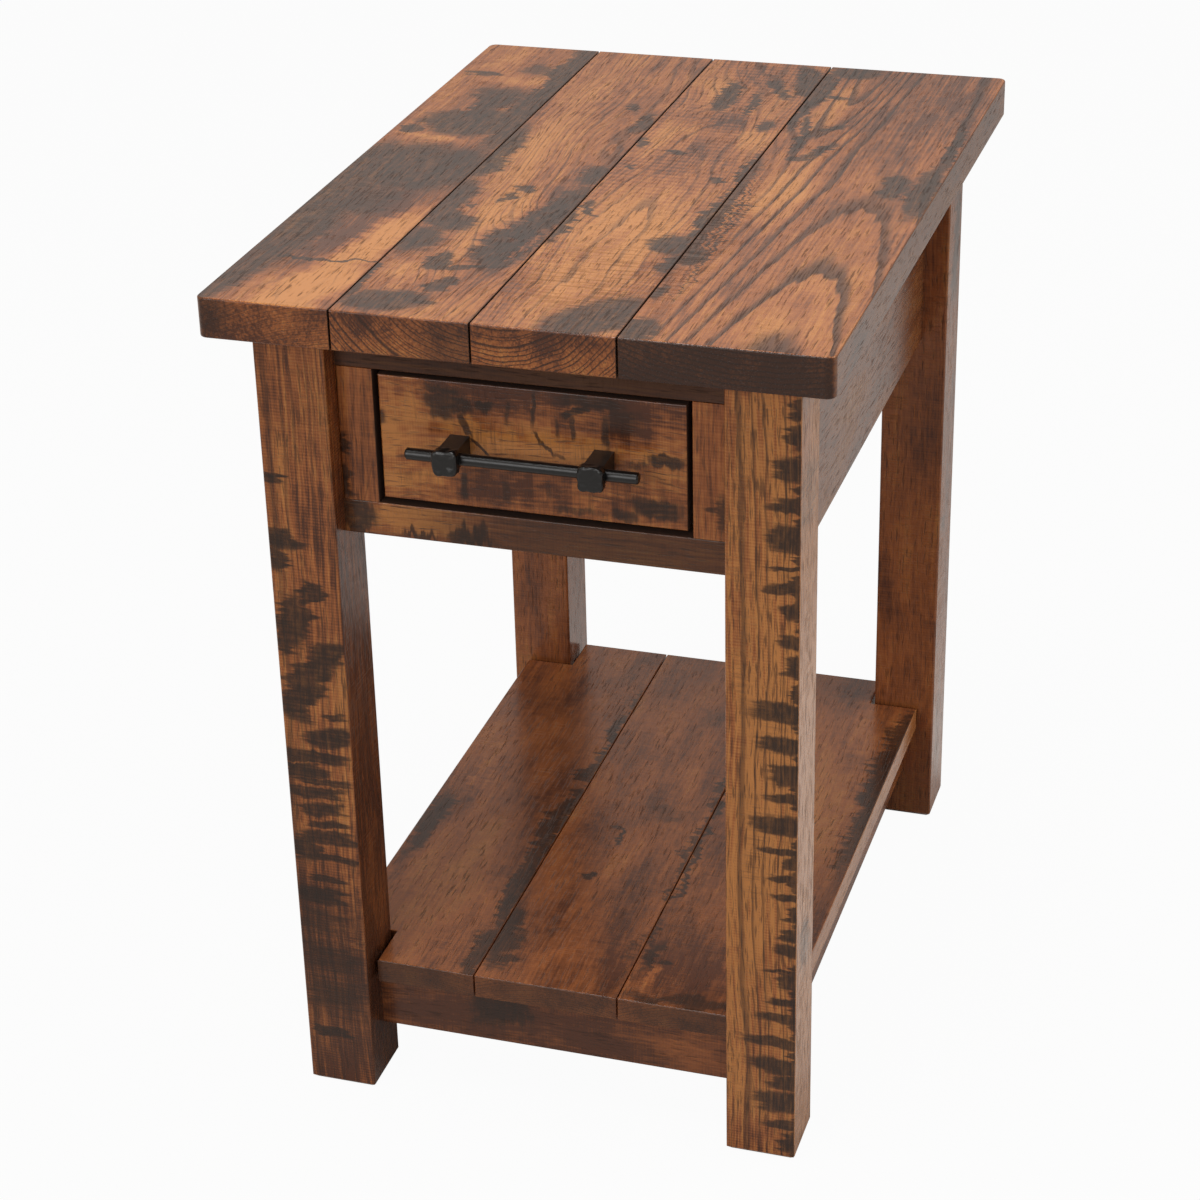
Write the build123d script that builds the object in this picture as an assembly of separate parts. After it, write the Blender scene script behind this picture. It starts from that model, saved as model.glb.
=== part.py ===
"""Rustic hickory end table with one drawer and a planked lower shelf.

Millimetres. The origin is on the floor under the middle of the top, +Z is up and
the drawer opens towards -Y. Every wooden part, slide member and group of like
screws is written to its own STEP file in parts/.
"""
from build123d import *
import os

# ---- Overall size -----------------------------------------------------------------
table_width = 409.0            # left to right, across the top
table_depth = 565.0            # front to back, along the top's boards
table_height = 609.6           # floor to the top's upper face

# ---- Top --------------------------------------------------------------------------
top_thickness = 27.0
top_edge_round = 1.2           # rounding of the top's upper and lower edges
top_corner_round = 6.0         # its four corners, as seen from above
top_board_1_width = 89.5       # boards are counted from the left
top_board_2_width = 92.0
top_board_3_width = 93.5       # board 4 is what is left of the table's width
joint_gap = 1.1                # open kerf between two boards, along their faces and ends
joint_gap_depth = 6.0
joint_easing = 0.4             # small chamfers on the kerf's edges

# ---- Legs -------------------------------------------------------------------------
leg_size = 48.5                # square section
leg_side_overhang = 25.6       # how far the top stands out past a leg, at the sides
leg_end_overhang = 24.0        # and at the front and back
leg_easing = 1.6               # rounding of a leg's long edges
foot_chamfer = 3.5

# ---- Aprons -----------------------------------------------------------------------
apron_height = 160.0
apron_thickness = 20.0
apron_inset = 19.0             # apron face behind the legs' outer faces
edge_easing = 1.2              # rounding of the long edges of rails, stiles and aprons

# ---- Drawer frame between the front legs ---------------------------------------------
front_inset = 17.0             # frame face behind the legs' front faces
front_frame_thickness = 20.0
front_top_rail_height = 28.0
front_bottom_rail_height = 24.0
drawer_opening_height = 93.2
stile_width = 25.0

# ---- Mortise and tenon joints --------------------------------------------------------
tenon_thickness = 8.0
tenon_length = 14.0            # short enough for two tenons to pass in one leg
tenon_clearance = 0.1          # glue line on each cheek
mortise_spare_depth = 0.8      # room for glue past a tenon's end
apron_tenon_shoulder = 12.0    # apron height left above and below its tenon
rail_tenon_shoulder = 5.0      # the same on the narrow rails
stile_tenon_length = 7.0
stile_tenon_shoulder = 5.0

# ---- Lower shelf -------------------------------------------------------------------
shelf_top_height = 103.0       # floor to the shelf's upper face
shelf_thickness = 18.0
shelf_inset = 13.2             # shelf edge behind the legs' outer faces
shelf_notch_gap = 2.8          # open gap between a board's notch and its leg
shelf_edge_round = 1.2
shelf_board_1_width = 110.0
shelf_board_2_width = 104.6    # board 3 is what is left of the shelf's width
shelf_rail_height = 43.0
shelf_rail_thickness = 18.0
shelf_rail_inset = 24.0        # rail face behind the legs' outer faces
shelf_tenon_length = 10.0
shelf_screw_edge_distance = 10.0   # from a joint between two boards
shelf_screw_leg_distance = 15.0    # from a leg's inner face

# ---- Drawer ------------------------------------------------------------------------
drawer_front_thickness = 20.0
drawer_front_recess = 1.0      # drawer face behind the frame's face
drawer_gap_side = 3.2
drawer_gap_top = 3.0
drawer_gap_bottom = 3.6
drawer_front_easing = 1.4
box_height = 70.0
box_back_clearance = 34.0      # from the box to the back apron
box_side_thickness = 12.0
box_end_thickness = 13.0
box_bottom_thickness = 6.0
box_groove_depth = 6.0         # how far the bottom panel enters its grooves
box_groove_height = 9.0        # wood left under the bottom panel
box_groove_clearance = 0.1
dovetail_count = 3
dovetail_slope = 1 / 7         # sideways step for each unit of tail length
dovetail_neck_share = 0.5      # a tail's narrow width as a share of its pitch

# ---- Three-part drawer slides --------------------------------------------------------
slide_width = 12.7             # from the case rail to the drawer side
slide_height = 35.0
slide_steel = 1.2              # sheet thickness
slide_running_gap = 0.4        # between nested members
slide_front_setback = 2.0      # slide's front end behind the drawer front's back
slide_back_setback = 4.0       # slide's back end in front of the box's back
slide_screw_room = 3.2         # clear depth for screw heads behind the middle member
slide_lip_reach = 9.4          # how far the outer member's lips reach
slide_inner_reach = 5.2        # how far the drawer member's lips reach back
slide_rail_height = 60.0       # wooden rail that carries a slide
slide_screw_inset = 35.0       # first and last slide screw from the slide's ends

# ---- Pull --------------------------------------------------------------------------
pull_centres = 96.0            # post to post, a standard spacing
pull_bar_length = 154.0
pull_bar_radius = 3.9
pull_bar_chamfer = 1.0         # at the bar's two ends
pull_bar_standoff = 21.3       # drawer face to the bar's axis
pull_post_size = 13.0          # square section of a post
pull_head_size = 16.4          # square head in front of the bar
pull_head_thickness = 6.8
pull_head_chamfer = 4.2        # cut corners of the head
pull_head_dome = 1.8           # rounded-off front edge of the head
pull_fit = 0.05                # clearance of the bar in its posts

# ---- Screws ------------------------------------------------------------------------
wood_screw_radius = 2.0
wood_screw_head_radius = 4.0
wood_screw_head_height = 2.4
flat_head_height = 2.2         # countersunk heads of the top fasteners' screws
machine_screw_radius = 2.0
machine_screw_head_radius = 4.2
machine_screw_head_height = 2.6
screw_clearance = 0.05         # around a shank in its hole
drive_recess_width = 1.1       # cross slot in a screw's head
drive_recess_depth = 1.2
drive_recess_share = 1.2       # a slot's length as a share of the head's radius
pan_head_round_share = 1 / 3   # rounding of a pan head as a share of its height
short_screw_length = 15.0      # slides and top fasteners
case_screw_length = 38.0       # slide rails into the legs
front_screw_length = 26.0      # drawer box into the drawer front
front_screw_inset = 16.0       # from the inside of the box's sides
front_screw_rise = 14.0        # above and below the middle of the box
shelf_screw_length = 40.0      # shelf rails up into the boards
shelf_counterbore_radius = 5.0
shelf_counterbore_depth = 15.0
pull_screw_grip = 9.0          # thread inside a pull post
slide_screw_length = 11.0      # into the drawer sides, which are thin

# ---- Figure-eight fasteners that hold the top -------------------------------------------
fastener_radius = 9.0
fastener_spacing = 15.0        # between the two screws of one fastener
fastener_thickness = 2.6
fastener_waist = 11.0
fastener_recess_gap = 0.2
fastener_edge_offset = 9.0     # apron screw from the apron's inner face
fastener_end_distance = 70.0   # side fasteners from the legs' inner faces
fastener_end_distance_x = 45.0 # front and back fasteners from the legs' inner faces

# ---- Levels and planes that follow from the sizes above --------------------------------
half_width = table_width / 2
half_depth = table_depth / 2
top_underside = table_height - top_thickness
leg_outer_x = half_width - leg_side_overhang
leg_outer_y = half_depth - leg_end_overhang
leg_inner_x = leg_outer_x - leg_size
leg_inner_y = leg_outer_y - leg_size
apron_bottom = top_underside - apron_height
side_apron_outer_x = leg_outer_x - apron_inset
side_apron_inner_x = side_apron_outer_x - apron_thickness
back_apron_outer_y = leg_outer_y - apron_inset
back_apron_inner_y = back_apron_outer_y - apron_thickness
frame_front_y = -(leg_outer_y - front_inset)
frame_back_y = frame_front_y + front_frame_thickness
opening_top = top_underside - front_top_rail_height
opening_bottom = opening_top - drawer_opening_height
frame_bottom = opening_bottom - front_bottom_rail_height
opening_half_width = leg_inner_x - stile_width
shelf_underside = shelf_top_height - shelf_thickness
shelf_rail_bottom = shelf_underside - shelf_rail_height
shelf_half_x = leg_outer_x - shelf_inset
shelf_half_y = leg_outer_y - shelf_inset
shelf_rail_outer_x = leg_outer_x - shelf_rail_inset
shelf_rail_outer_y = leg_outer_y - shelf_rail_inset

drawer_face_y = frame_front_y + drawer_front_recess
drawer_front_back_y = drawer_face_y + drawer_front_thickness
drawer_front_bottom = opening_bottom + drawer_gap_bottom
drawer_front_top = opening_top - drawer_gap_top
drawer_middle_z = (drawer_front_bottom + drawer_front_top) / 2
box_half_width = opening_half_width - slide_width
box_inner_half_width = box_half_width - box_side_thickness
box_front_y = drawer_front_back_y
box_back_y = back_apron_inner_y - box_back_clearance
box_bottom = drawer_middle_z - box_height / 2
box_top = box_bottom + box_height
slide_front_y = box_front_y + slide_front_setback
slide_back_y = box_back_y - slide_back_setback
slide_length = slide_back_y - slide_front_y    # the drawer pulls out this far

SIDES = {"left": -1, "right": 1}
ENDS = {"front": -1, "back": 1}

nodes = {}


# ---- Small helpers ------------------------------------------------------------------
def block(x_from, x_to, y_from, y_to, z_from, z_to):
    """A box between two corners, given in any order."""
    centre = Pos((x_from + x_to) / 2, (y_from + y_to) / 2, (z_from + z_to) / 2)
    return centre * Box(abs(x_to - x_from), abs(y_to - y_from), abs(z_to - z_from))


def eased(solid, axis, radius):
    """Rounds the edges of a plain block that run along one axis."""
    return fillet(solid.edges().filter_by(axis), radius)


def solids_of(shape):
    """The solids of a shape or of a list of shapes, as one flat list."""
    if isinstance(shape, (list, tuple)):
        return [solid for item in shape for solid in solids_of(item)]
    return list(shape.solids())


def keep(name, shape):
    """Stores one node, a single solid or a group of like solids."""
    solids = solids_of(shape)
    nodes[name] = solids[0] if len(solids) == 1 else Compound(children=solids)


def drive_recess(head_radius, top_z):
    """The cross slot in a screw's head, cut down from top_z."""
    centre = Pos(0, 0, top_z - drive_recess_depth / 2)
    slot_length = head_radius * drive_recess_share
    first = Box(slot_length, drive_recess_width, drive_recess_depth)
    second = Box(drive_recess_width, slot_length, drive_recess_depth)
    return centre * (first + second)


def screw(length, radius, head_radius, head_height):
    """A pan-head screw: the head's seat is at z = 0 and the shank runs down."""
    shank = Pos(0, 0, -length / 2) * Cylinder(radius, length)
    head = Pos(0, 0, head_height / 2) * Cylinder(head_radius, head_height)
    head = fillet(head.edges().group_by(Axis.Z)[-1], head_height * pan_head_round_share)
    return shank + head - drive_recess(head_radius, head_height)


def flat_head(clearance=0.0):
    """The cone of a countersunk wood screw, with its top at z = 0."""
    return Pos(0, 0, -flat_head_height / 2) * Cone(
        wood_screw_radius + clearance, wood_screw_head_radius + clearance, flat_head_height)


def flat_screw(length):
    """A countersunk wood screw: the head's top is at z = 0 and the shank runs down."""
    shank = Pos(0, 0, -length / 2) * Cylinder(wood_screw_radius, length)
    return shank + flat_head() - drive_recess(wood_screw_head_radius, 0)


def wood_screw(length):
    return screw(length, wood_screw_radius, wood_screw_head_radius, wood_screw_head_height)


def screw_hole(length, radius=wood_screw_radius):
    """The hole that a screw's shank needs, from just above its seat."""
    depth = length + mortise_spare_depth
    return Pos(0, 0, -depth / 2) * Cylinder(radius + screw_clearance, depth)


# A screw is drawn pointing down, so each of these turns it to point another way.
POINTS_UP = Rot(180, 0, 0)
POINTS_FRONT = Rot(-90, 0, 0)       # shank towards -Y
POINTS_SIDE = {-1: Rot(0, 90, 0), 1: Rot(0, -90, 0)}   # shank towards -X or +X


def side_tenon(side, end, outer_x, thickness, z_from, z_to, length, grow=0.0, spare=0.0):
    """Tenon at one end of a rail that runs front to back, or its mortise with grow set."""
    middle = outer_x - thickness / 2
    half = tenon_thickness / 2 + grow
    return block(side * (middle - half), side * (middle + half),
                 end * (leg_inner_y - spare / 2), end * (leg_inner_y + length + spare),
                 z_from - grow, z_to + grow)


def cross_tenon(side, end, outer_y, thickness, z_from, z_to, length, grow=0.0, spare=0.0):
    """The same for a rail that runs left to right."""
    middle = outer_y - thickness / 2
    half = tenon_thickness / 2 + grow
    return block(side * (leg_inner_x - spare / 2), side * (leg_inner_x + length + spare),
                 end * (middle - half), end * (middle + half),
                 z_from - grow, z_to + grow)


# What enters each leg: the plane, thickness, tenon height and length of each rail.
apron_tenon_levels = (apron_bottom + apron_tenon_shoulder, top_underside - apron_tenon_shoulder)
top_rail_tenon_levels = (opening_top + rail_tenon_shoulder, top_underside - rail_tenon_shoulder)
bottom_rail_tenon_levels = (frame_bottom + rail_tenon_shoulder, opening_bottom - rail_tenon_shoulder)
shelf_tenon_levels = (shelf_rail_bottom + rail_tenon_shoulder, shelf_underside - rail_tenon_shoulder)

side_apron_tenon = (side_apron_outer_x, apron_thickness, *apron_tenon_levels, tenon_length)
back_apron_tenon = (back_apron_outer_y, apron_thickness, *apron_tenon_levels, tenon_length)
top_rail_tenon = (-frame_front_y, front_frame_thickness, *top_rail_tenon_levels, tenon_length)
bottom_rail_tenon = (-frame_front_y, front_frame_thickness, *bottom_rail_tenon_levels, tenon_length)
shelf_side_tenon = (shelf_rail_outer_x, shelf_rail_thickness, *shelf_tenon_levels, shelf_tenon_length)
shelf_cross_tenon = (shelf_rail_outer_y, shelf_rail_thickness, *shelf_tenon_levels, shelf_tenon_length)


# ---- Top: four boards side by side ----------------------------------------------------
def parted(slab, half_y, z_from, z_to, joints):
    """The boards of a slab. They touch inside it, under a kerf that shows as a dark line."""
    boards = []
    for left, right in zip([-table_width] + joints, joints + [table_width]):
        shown = block(left + joint_gap / 2, right - joint_gap / 2, -half_y, half_y, z_from, z_to)
        core = block(left, right, -half_y + joint_gap_depth, half_y - joint_gap_depth,
                     z_from, z_to - joint_gap_depth)
        boards.append(slab & (chamfer(shown.edges(), joint_easing) + core))
    return boards


def top_boards():
    slab = block(-half_width, half_width, -half_depth, half_depth, top_underside, table_height)
    slab = eased(slab, Axis.Z, top_corner_round)
    slab = fillet(slab.edges().group_by(Axis.Z)[0] + slab.edges().group_by(Axis.Z)[-1], top_edge_round)
    joints = [-half_width + top_board_1_width]
    joints.append(joints[0] + top_board_2_width)
    joints.append(joints[1] + top_board_3_width)
    return parted(slab, half_depth, top_underside, table_height, joints)


# ---- Legs: square posts with a mortise for every rail that meets them -------------------
def leg(side, end):
    post = block(side * leg_inner_x, side * leg_outer_x, end * leg_inner_y, end * leg_outer_y,
                 0, top_underside)
    post = eased(post, Axis.Z, leg_easing) & chamfer(post.edges().group_by(Axis.Z)[0], foot_chamfer)
    fit = dict(grow=tenon_clearance, spare=mortise_spare_depth)
    post -= side_tenon(side, end, *side_apron_tenon, **fit)
    post -= side_tenon(side, end, *shelf_side_tenon, **fit)
    post -= cross_tenon(side, end, *shelf_cross_tenon, **fit)
    if end > 0:
        post -= cross_tenon(side, end, *back_apron_tenon, **fit)
    else:
        post -= cross_tenon(side, end, *top_rail_tenon, **fit)
        post -= cross_tenon(side, end, *bottom_rail_tenon, **fit)
    return post


# ---- Aprons and rails ---------------------------------------------------------------
def side_rail(side, outer_x, thickness, z_from, z_to, tenon):
    """A rail between the front and back leg of one side, with its two tenons."""
    rail = block(side * (outer_x - thickness), side * outer_x, -leg_inner_y, leg_inner_y, z_from, z_to)
    rail = eased(rail, Axis.Y, edge_easing)
    for end in ENDS.values():
        rail += side_tenon(side, end, *tenon)
    return rail


def cross_rail(end, outer_y, thickness, z_from, z_to, tenon):
    """A rail between the left and right leg of one end, with its two tenons."""
    rail = block(-leg_inner_x, leg_inner_x, end * (outer_y - thickness), end * outer_y, z_from, z_to)
    rail = eased(rail, Axis.X, edge_easing)
    for side in SIDES.values():
        rail += cross_tenon(side, end, *tenon)
    return rail


# ---- Stiles beside the drawer, with stub tenons into the two front rails ----------------
def stile_tenons(side, grow=0.0, spare=0.0):
    x_from = opening_half_width + stile_tenon_shoulder - grow
    x_to = leg_inner_x - stile_tenon_shoulder + grow
    y_middle = (frame_front_y + frame_back_y) / 2
    half = tenon_thickness / 2 + grow
    reach = stile_tenon_length + spare
    return block(side * x_from, side * x_to, y_middle - half, y_middle + half,
                 opening_bottom - reach, opening_top + reach)


def stile(side):
    upright = block(side * opening_half_width, side * leg_inner_x, frame_front_y, frame_back_y,
                    opening_bottom, opening_top)
    return eased(upright, Axis.Z, edge_easing) + stile_tenons(side)


# ---- Lower shelf: three boards notched round the legs ----------------------------------
def shelf_boards():
    slab = block(-shelf_half_x, shelf_half_x, -shelf_half_y, shelf_half_y, shelf_underside, shelf_top_height)
    notch_x = leg_inner_x - shelf_notch_gap
    notch_y = leg_inner_y - shelf_notch_gap
    for side in SIDES.values():
        for end in ENDS.values():
            slab -= block(side * notch_x, side * leg_outer_x, end * notch_y, end * leg_outer_y,
                          shelf_underside, shelf_top_height)
    slab = fillet(slab.faces().sort_by(Axis.Z)[-1].edges(), shelf_edge_round)
    joint_1 = -shelf_half_x + shelf_board_1_width
    joint_2 = joint_1 + shelf_board_2_width
    return parted(slab, shelf_half_y, shelf_underside, shelf_top_height, [joint_1, joint_2])


def shelf_screw_places():
    """One screw near each edge of every board, over the front and the back rail."""
    joint_1 = -shelf_half_x + shelf_board_1_width
    joint_2 = joint_1 + shelf_board_2_width
    rail_y = shelf_rail_outer_y - shelf_rail_thickness / 2
    edge = shelf_screw_edge_distance
    outer = leg_inner_x - shelf_screw_leg_distance
    xs = (-outer, joint_1 - edge, joint_1 + edge, joint_2 - edge, joint_2 + edge, outer)
    seat = shelf_rail_bottom + shelf_counterbore_depth
    return [Pos(x, end * rail_y, seat) for x in xs for end in ENDS.values()]


# ---- Figure-eight fasteners between the aprons and the top -----------------------------
def fastener_places():
    """Apron screw of each fastener, and the turn that points its other end inwards."""
    side_x = side_apron_inner_x + fastener_edge_offset
    side_y = leg_inner_y - fastener_end_distance
    end_x = leg_inner_x - fastener_end_distance_x
    back_y = back_apron_inner_y + fastener_edge_offset
    front_y = frame_back_y - fastener_edge_offset
    places = []
    for sign in (-1, 1):
        places.append(Pos(-side_x, sign * side_y, top_underside))
        places.append(Pos(side_x, sign * side_y, top_underside) * Rot(0, 0, 180))
        places.append(Pos(sign * end_x, back_y, top_underside) * Rot(0, 0, -90))
        places.append(Pos(sign * end_x, front_y, top_underside) * Rot(0, 0, 90))
    return places


def fastener_blank(gap=0.0):
    """Two round ends joined by a narrower waist, lying just under z = 0."""
    thickness = fastener_thickness + gap
    first = Cylinder(fastener_radius + gap, thickness)
    second = Pos(fastener_spacing, 0, 0) * first
    waist = Pos(fastener_spacing / 2, 0, 0) * Box(fastener_spacing, fastener_waist + 2 * gap, thickness)
    return Pos(0, 0, -thickness / 2) * (first + second + waist)


def fastener():
    plate = fastener_blank()
    hole = screw_hole(fastener_thickness) + flat_head(screw_clearance)
    plate -= hole
    return plate - Pos(fastener_spacing, 0, -fastener_thickness) * POINTS_UP * hole


# ---- Drawer slides ------------------------------------------------------------------
def channel(side, back_x, reach, height, opens_inwards):
    """A C section along Y: a web at back_x and two lips that reach past it by reach."""
    toward = -side if opens_inwards else side
    middle_z = drawer_middle_z
    web_x = side * back_x
    tip_x = web_x + toward * reach
    body = block(web_x, tip_x, slide_front_y, slide_back_y, middle_z - height / 2, middle_z + height / 2)
    inner = height / 2 - slide_steel
    body -= block(web_x + toward * slide_steel, tip_x, slide_front_y, slide_back_y,
                  middle_z - inner, middle_z + inner)
    return body


middle_member_height = slide_height - 2 * (slide_steel + slide_running_gap)
inner_member_height = middle_member_height - 2 * (slide_steel + slide_running_gap)
middle_web_x = opening_half_width - slide_steel - slide_screw_room
middle_reach = slide_width - slide_steel - slide_screw_room - slide_running_gap


def slide_screw_ys():
    first = slide_front_y + slide_screw_inset
    last = slide_back_y - slide_screw_inset
    return (first, (first + last) / 2, last)


def case_slide_screws(side):
    seat = side * (opening_half_width - slide_steel)
    return [Pos(seat, y, drawer_middle_z) * POINTS_SIDE[side] for y in slide_screw_ys()]


def drawer_slide_screws(side):
    seat = side * (box_half_width + slide_steel)
    return [Pos(seat, y, drawer_middle_z) * POINTS_SIDE[-side] for y in slide_screw_ys()]


# ---- Wooden rails that carry the slides -------------------------------------------------
def slide_rail_screws(side):
    """One screw through each end of a slide rail into the leg beside it."""
    front_y = (frame_back_y - leg_inner_y) / 2
    back_y = (back_apron_inner_y + leg_inner_y) / 2
    seat = side * (opening_half_width + wood_screw_head_height)
    quarter = slide_rail_height / 4
    return [Pos(seat, y, drawer_middle_z + level) * POINTS_SIDE[side]
            for y in (front_y, back_y) for level in (-quarter, quarter)]


def slide_rail(side):
    rail = block(side * opening_half_width, side * leg_inner_x, frame_back_y, back_apron_inner_y,
                 drawer_middle_z - slide_rail_height / 2, drawer_middle_z + slide_rail_height / 2)
    for place in slide_rail_screws(side):
        rail -= place * screw_hole(case_screw_length)
        rail -= place * Pos(0, 0, wood_screw_head_height) * Cylinder(
            wood_screw_head_radius + screw_clearance, 2 * wood_screw_head_height)
    for place in case_slide_screws(side):
        rail -= place * screw_hole(short_screw_length)
    return rail


# ---- Drawer box: dovetailed at the corners, with a panel let into grooves -----------------
def tails(side, end, grow=0.0):
    """The dovetails of one drawer side at one corner of the box."""
    pitch = box_height / dovetail_count
    neck = pitch * dovetail_neck_share / 2
    wide = neck + box_end_thickness * dovetail_slope
    shapes = []
    for index in range(dovetail_count):
        z = box_bottom + pitch * (index + 0.5)
        edge_y = box_front_y if end < 0 else box_back_y
        inner_y = edge_y - end * box_end_thickness
        outline = Polyline((inner_y, z - neck - grow), (edge_y, z - wide - grow),
                           (edge_y, z + wide + grow), (inner_y, z + neck + grow), close=True)
        x_from = side * box_inner_half_width
        face = Plane.YZ.offset(x_from) * make_face(outline)
        shapes.append(extrude(face, side * box_side_thickness))
    return shapes


def bottom_panel(grow=0.0):
    reach = box_groove_depth - box_groove_clearance + grow
    z_from = box_bottom + box_groove_height
    return block(-box_inner_half_width - reach, box_inner_half_width + reach,
                 box_front_y + box_end_thickness - reach, box_back_y - box_end_thickness + reach,
                 z_from - grow, z_from + box_bottom_thickness + grow)


def drawer_side(side):
    board = block(side * box_inner_half_width, side * box_half_width,
                  box_front_y + box_end_thickness, box_back_y - box_end_thickness, box_bottom, box_top)
    for end in ENDS.values():
        for tail in tails(side, end):
            board += tail
    board -= bottom_panel(box_groove_clearance)
    for place in drawer_slide_screws(side):
        board -= place * screw_hole(slide_screw_length)
    return board


def drawer_end(end):
    edge_y = box_front_y if end < 0 else box_back_y
    board = block(-box_half_width, box_half_width, edge_y, edge_y - end * box_end_thickness, box_bottom, box_top)
    for side in SIDES.values():
        for tail in tails(side, end):
            board -= tail
    return board - bottom_panel(box_groove_clearance)


def front_screw_places():
    """Screws from inside the drawer box into the drawer front, one near each corner."""
    seat_y = box_front_y + box_end_thickness
    x = box_inner_half_width - front_screw_inset
    return [Pos(side * x, seat_y, drawer_middle_z + level) * POINTS_FRONT
            for side in SIDES.values() for level in (-front_screw_rise, front_screw_rise)]


# ---- Pull: a round bar held in two square posts -----------------------------------------
pull_screw_length = box_end_thickness + drawer_front_thickness + pull_screw_grip


def pull_screw_places():
    seat_y = box_front_y + box_end_thickness
    return [Pos(sign * pull_centres / 2, seat_y, drawer_middle_z) * POINTS_FRONT for sign in (-1, 1)]


def machine_screw():
    return screw(pull_screw_length, machine_screw_radius, machine_screw_head_radius,
                 machine_screw_head_height)


def pull_bar():
    bar = Rot(0, 90, 0) * Cylinder(pull_bar_radius, pull_bar_length)
    bar = chamfer(bar.edges(), pull_bar_chamfer)
    return Pos(0, drawer_face_y - pull_bar_standoff, drawer_middle_z) * bar


def pull_post(side):
    """A square post that the bar passes through, with a wider hammered head in front."""
    head_back = pull_bar_standoff + pull_bar_radius
    post = Pos(0, -head_back / 2, 0) * Box(pull_post_size, head_back, pull_post_size)
    head = Pos(0, -head_back - pull_head_thickness / 2, 0) * Box(
        pull_head_size, pull_head_thickness, pull_head_size)
    head = chamfer(head.edges().filter_by(Axis.Y), pull_head_chamfer)
    head = fillet(head.faces().sort_by(Axis.Y)[0].edges(), pull_head_dome)
    body = Pos(side * pull_centres / 2, drawer_face_y, drawer_middle_z) * (post + head)
    bar_hole = Rot(0, 90, 0) * Cylinder(pull_bar_radius + pull_fit, pull_bar_length)
    body -= Pos(0, drawer_face_y - pull_bar_standoff, drawer_middle_z) * bar_hole
    for place in pull_screw_places():
        body -= place * screw_hole(pull_screw_length, machine_screw_radius)
    return body


# ---- Drawer front and box front, drilled for their screws --------------------------------
def drawer_front():
    panel = block(-opening_half_width + drawer_gap_side, opening_half_width - drawer_gap_side,
                  drawer_face_y, drawer_front_back_y, drawer_front_bottom, drawer_front_top)
    panel = fillet(panel.faces().sort_by(Axis.Y)[0].edges(), drawer_front_easing)
    for place in pull_screw_places():
        panel -= place * screw_hole(pull_screw_length, machine_screw_radius)
    for place in front_screw_places():
        panel -= place * screw_hole(front_screw_length)
    return panel


def box_front():
    board = drawer_end(-1)
    for place in pull_screw_places():
        board -= place * screw_hole(pull_screw_length, machine_screw_radius)
    for place in front_screw_places():
        board -= place * screw_hole(front_screw_length)
    return board


# ---- Assembly -----------------------------------------------------------------------
boards = top_boards()
fastener_screws = []
for place in fastener_places():
    tip = place * Pos(fastener_spacing, 0, -fastener_thickness)
    fastener_screws.append(place * flat_screw(short_screw_length))
    fastener_screws.append(tip * POINTS_UP * flat_screw(short_screw_length))
    boards = [board - tip * POINTS_UP * screw_hole(short_screw_length) for board in boards]

for index, board in enumerate(boards, start=1):
    keep(f"top_board_{index}", board)

for end_name, end in ENDS.items():
    for side_name, side in SIDES.items():
        post = leg(side, end)
        for place in slide_rail_screws(side):
            post -= place * screw_hole(case_screw_length)
        keep(f"leg_{end_name}_{side_name}", post)


def with_fastener_seats(rail):
    """Cuts the recess and screw hole of every fastener that lies on this rail."""
    for place in fastener_places():
        rail -= place * fastener_blank(fastener_recess_gap)
        rail -= place * screw_hole(short_screw_length)
    return rail


for side_name, side in SIDES.items():
    apron = side_rail(side, side_apron_outer_x, apron_thickness, apron_bottom, top_underside,
                      side_apron_tenon)
    keep(f"apron_{side_name}", with_fastener_seats(apron))
apron = cross_rail(1, back_apron_outer_y, apron_thickness, apron_bottom, top_underside, back_apron_tenon)
keep("apron_back", with_fastener_seats(apron))

top_rail = cross_rail(-1, -frame_front_y, front_frame_thickness, opening_top, top_underside, top_rail_tenon)
bottom_rail = cross_rail(-1, -frame_front_y, front_frame_thickness, frame_bottom, opening_bottom,
                         bottom_rail_tenon)
for side in SIDES.values():
    top_rail -= stile_tenons(side, tenon_clearance, mortise_spare_depth)
    bottom_rail -= stile_tenons(side, tenon_clearance, mortise_spare_depth)
keep("front_top_rail", with_fastener_seats(top_rail))
keep("front_bottom_rail", bottom_rail)
for side_name, side in SIDES.items():
    keep(f"front_stile_{side_name}", stile(side))

keep("top_fasteners", [place * fastener() for place in fastener_places()])
keep("top_fastener_screws", fastener_screws)

for side_name, side in SIDES.items():
    keep(f"slide_rail_{side_name}", slide_rail(side))
keep("slide_rail_screws", [place * wood_screw(case_screw_length)
                           for side in SIDES.values() for place in slide_rail_screws(side)])

for side_name, side in SIDES.items():
    outer = channel(side, opening_half_width, slide_lip_reach, slide_height, True)
    for place in case_slide_screws(side):
        outer -= place * Pos(0, 0, slide_steel) * screw_hole(short_screw_length)
    keep(f"slide_outer_{side_name}", outer)
    middle = channel(side, middle_web_x, middle_reach, middle_member_height, True)
    keep(f"slide_middle_{side_name}", middle)
    inner = channel(side, box_half_width, slide_inner_reach, inner_member_height, False)
    for place in drawer_slide_screws(side):
        inner -= place * Pos(0, 0, slide_steel) * screw_hole(slide_screw_length)
    keep(f"slide_inner_{side_name}", inner)
keep("slide_case_screws", [place * wood_screw(short_screw_length)
                           for side in SIDES.values() for place in case_slide_screws(side)])
keep("slide_drawer_screws", [place * wood_screw(slide_screw_length)
                             for side in SIDES.values() for place in drawer_slide_screws(side)])

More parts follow.
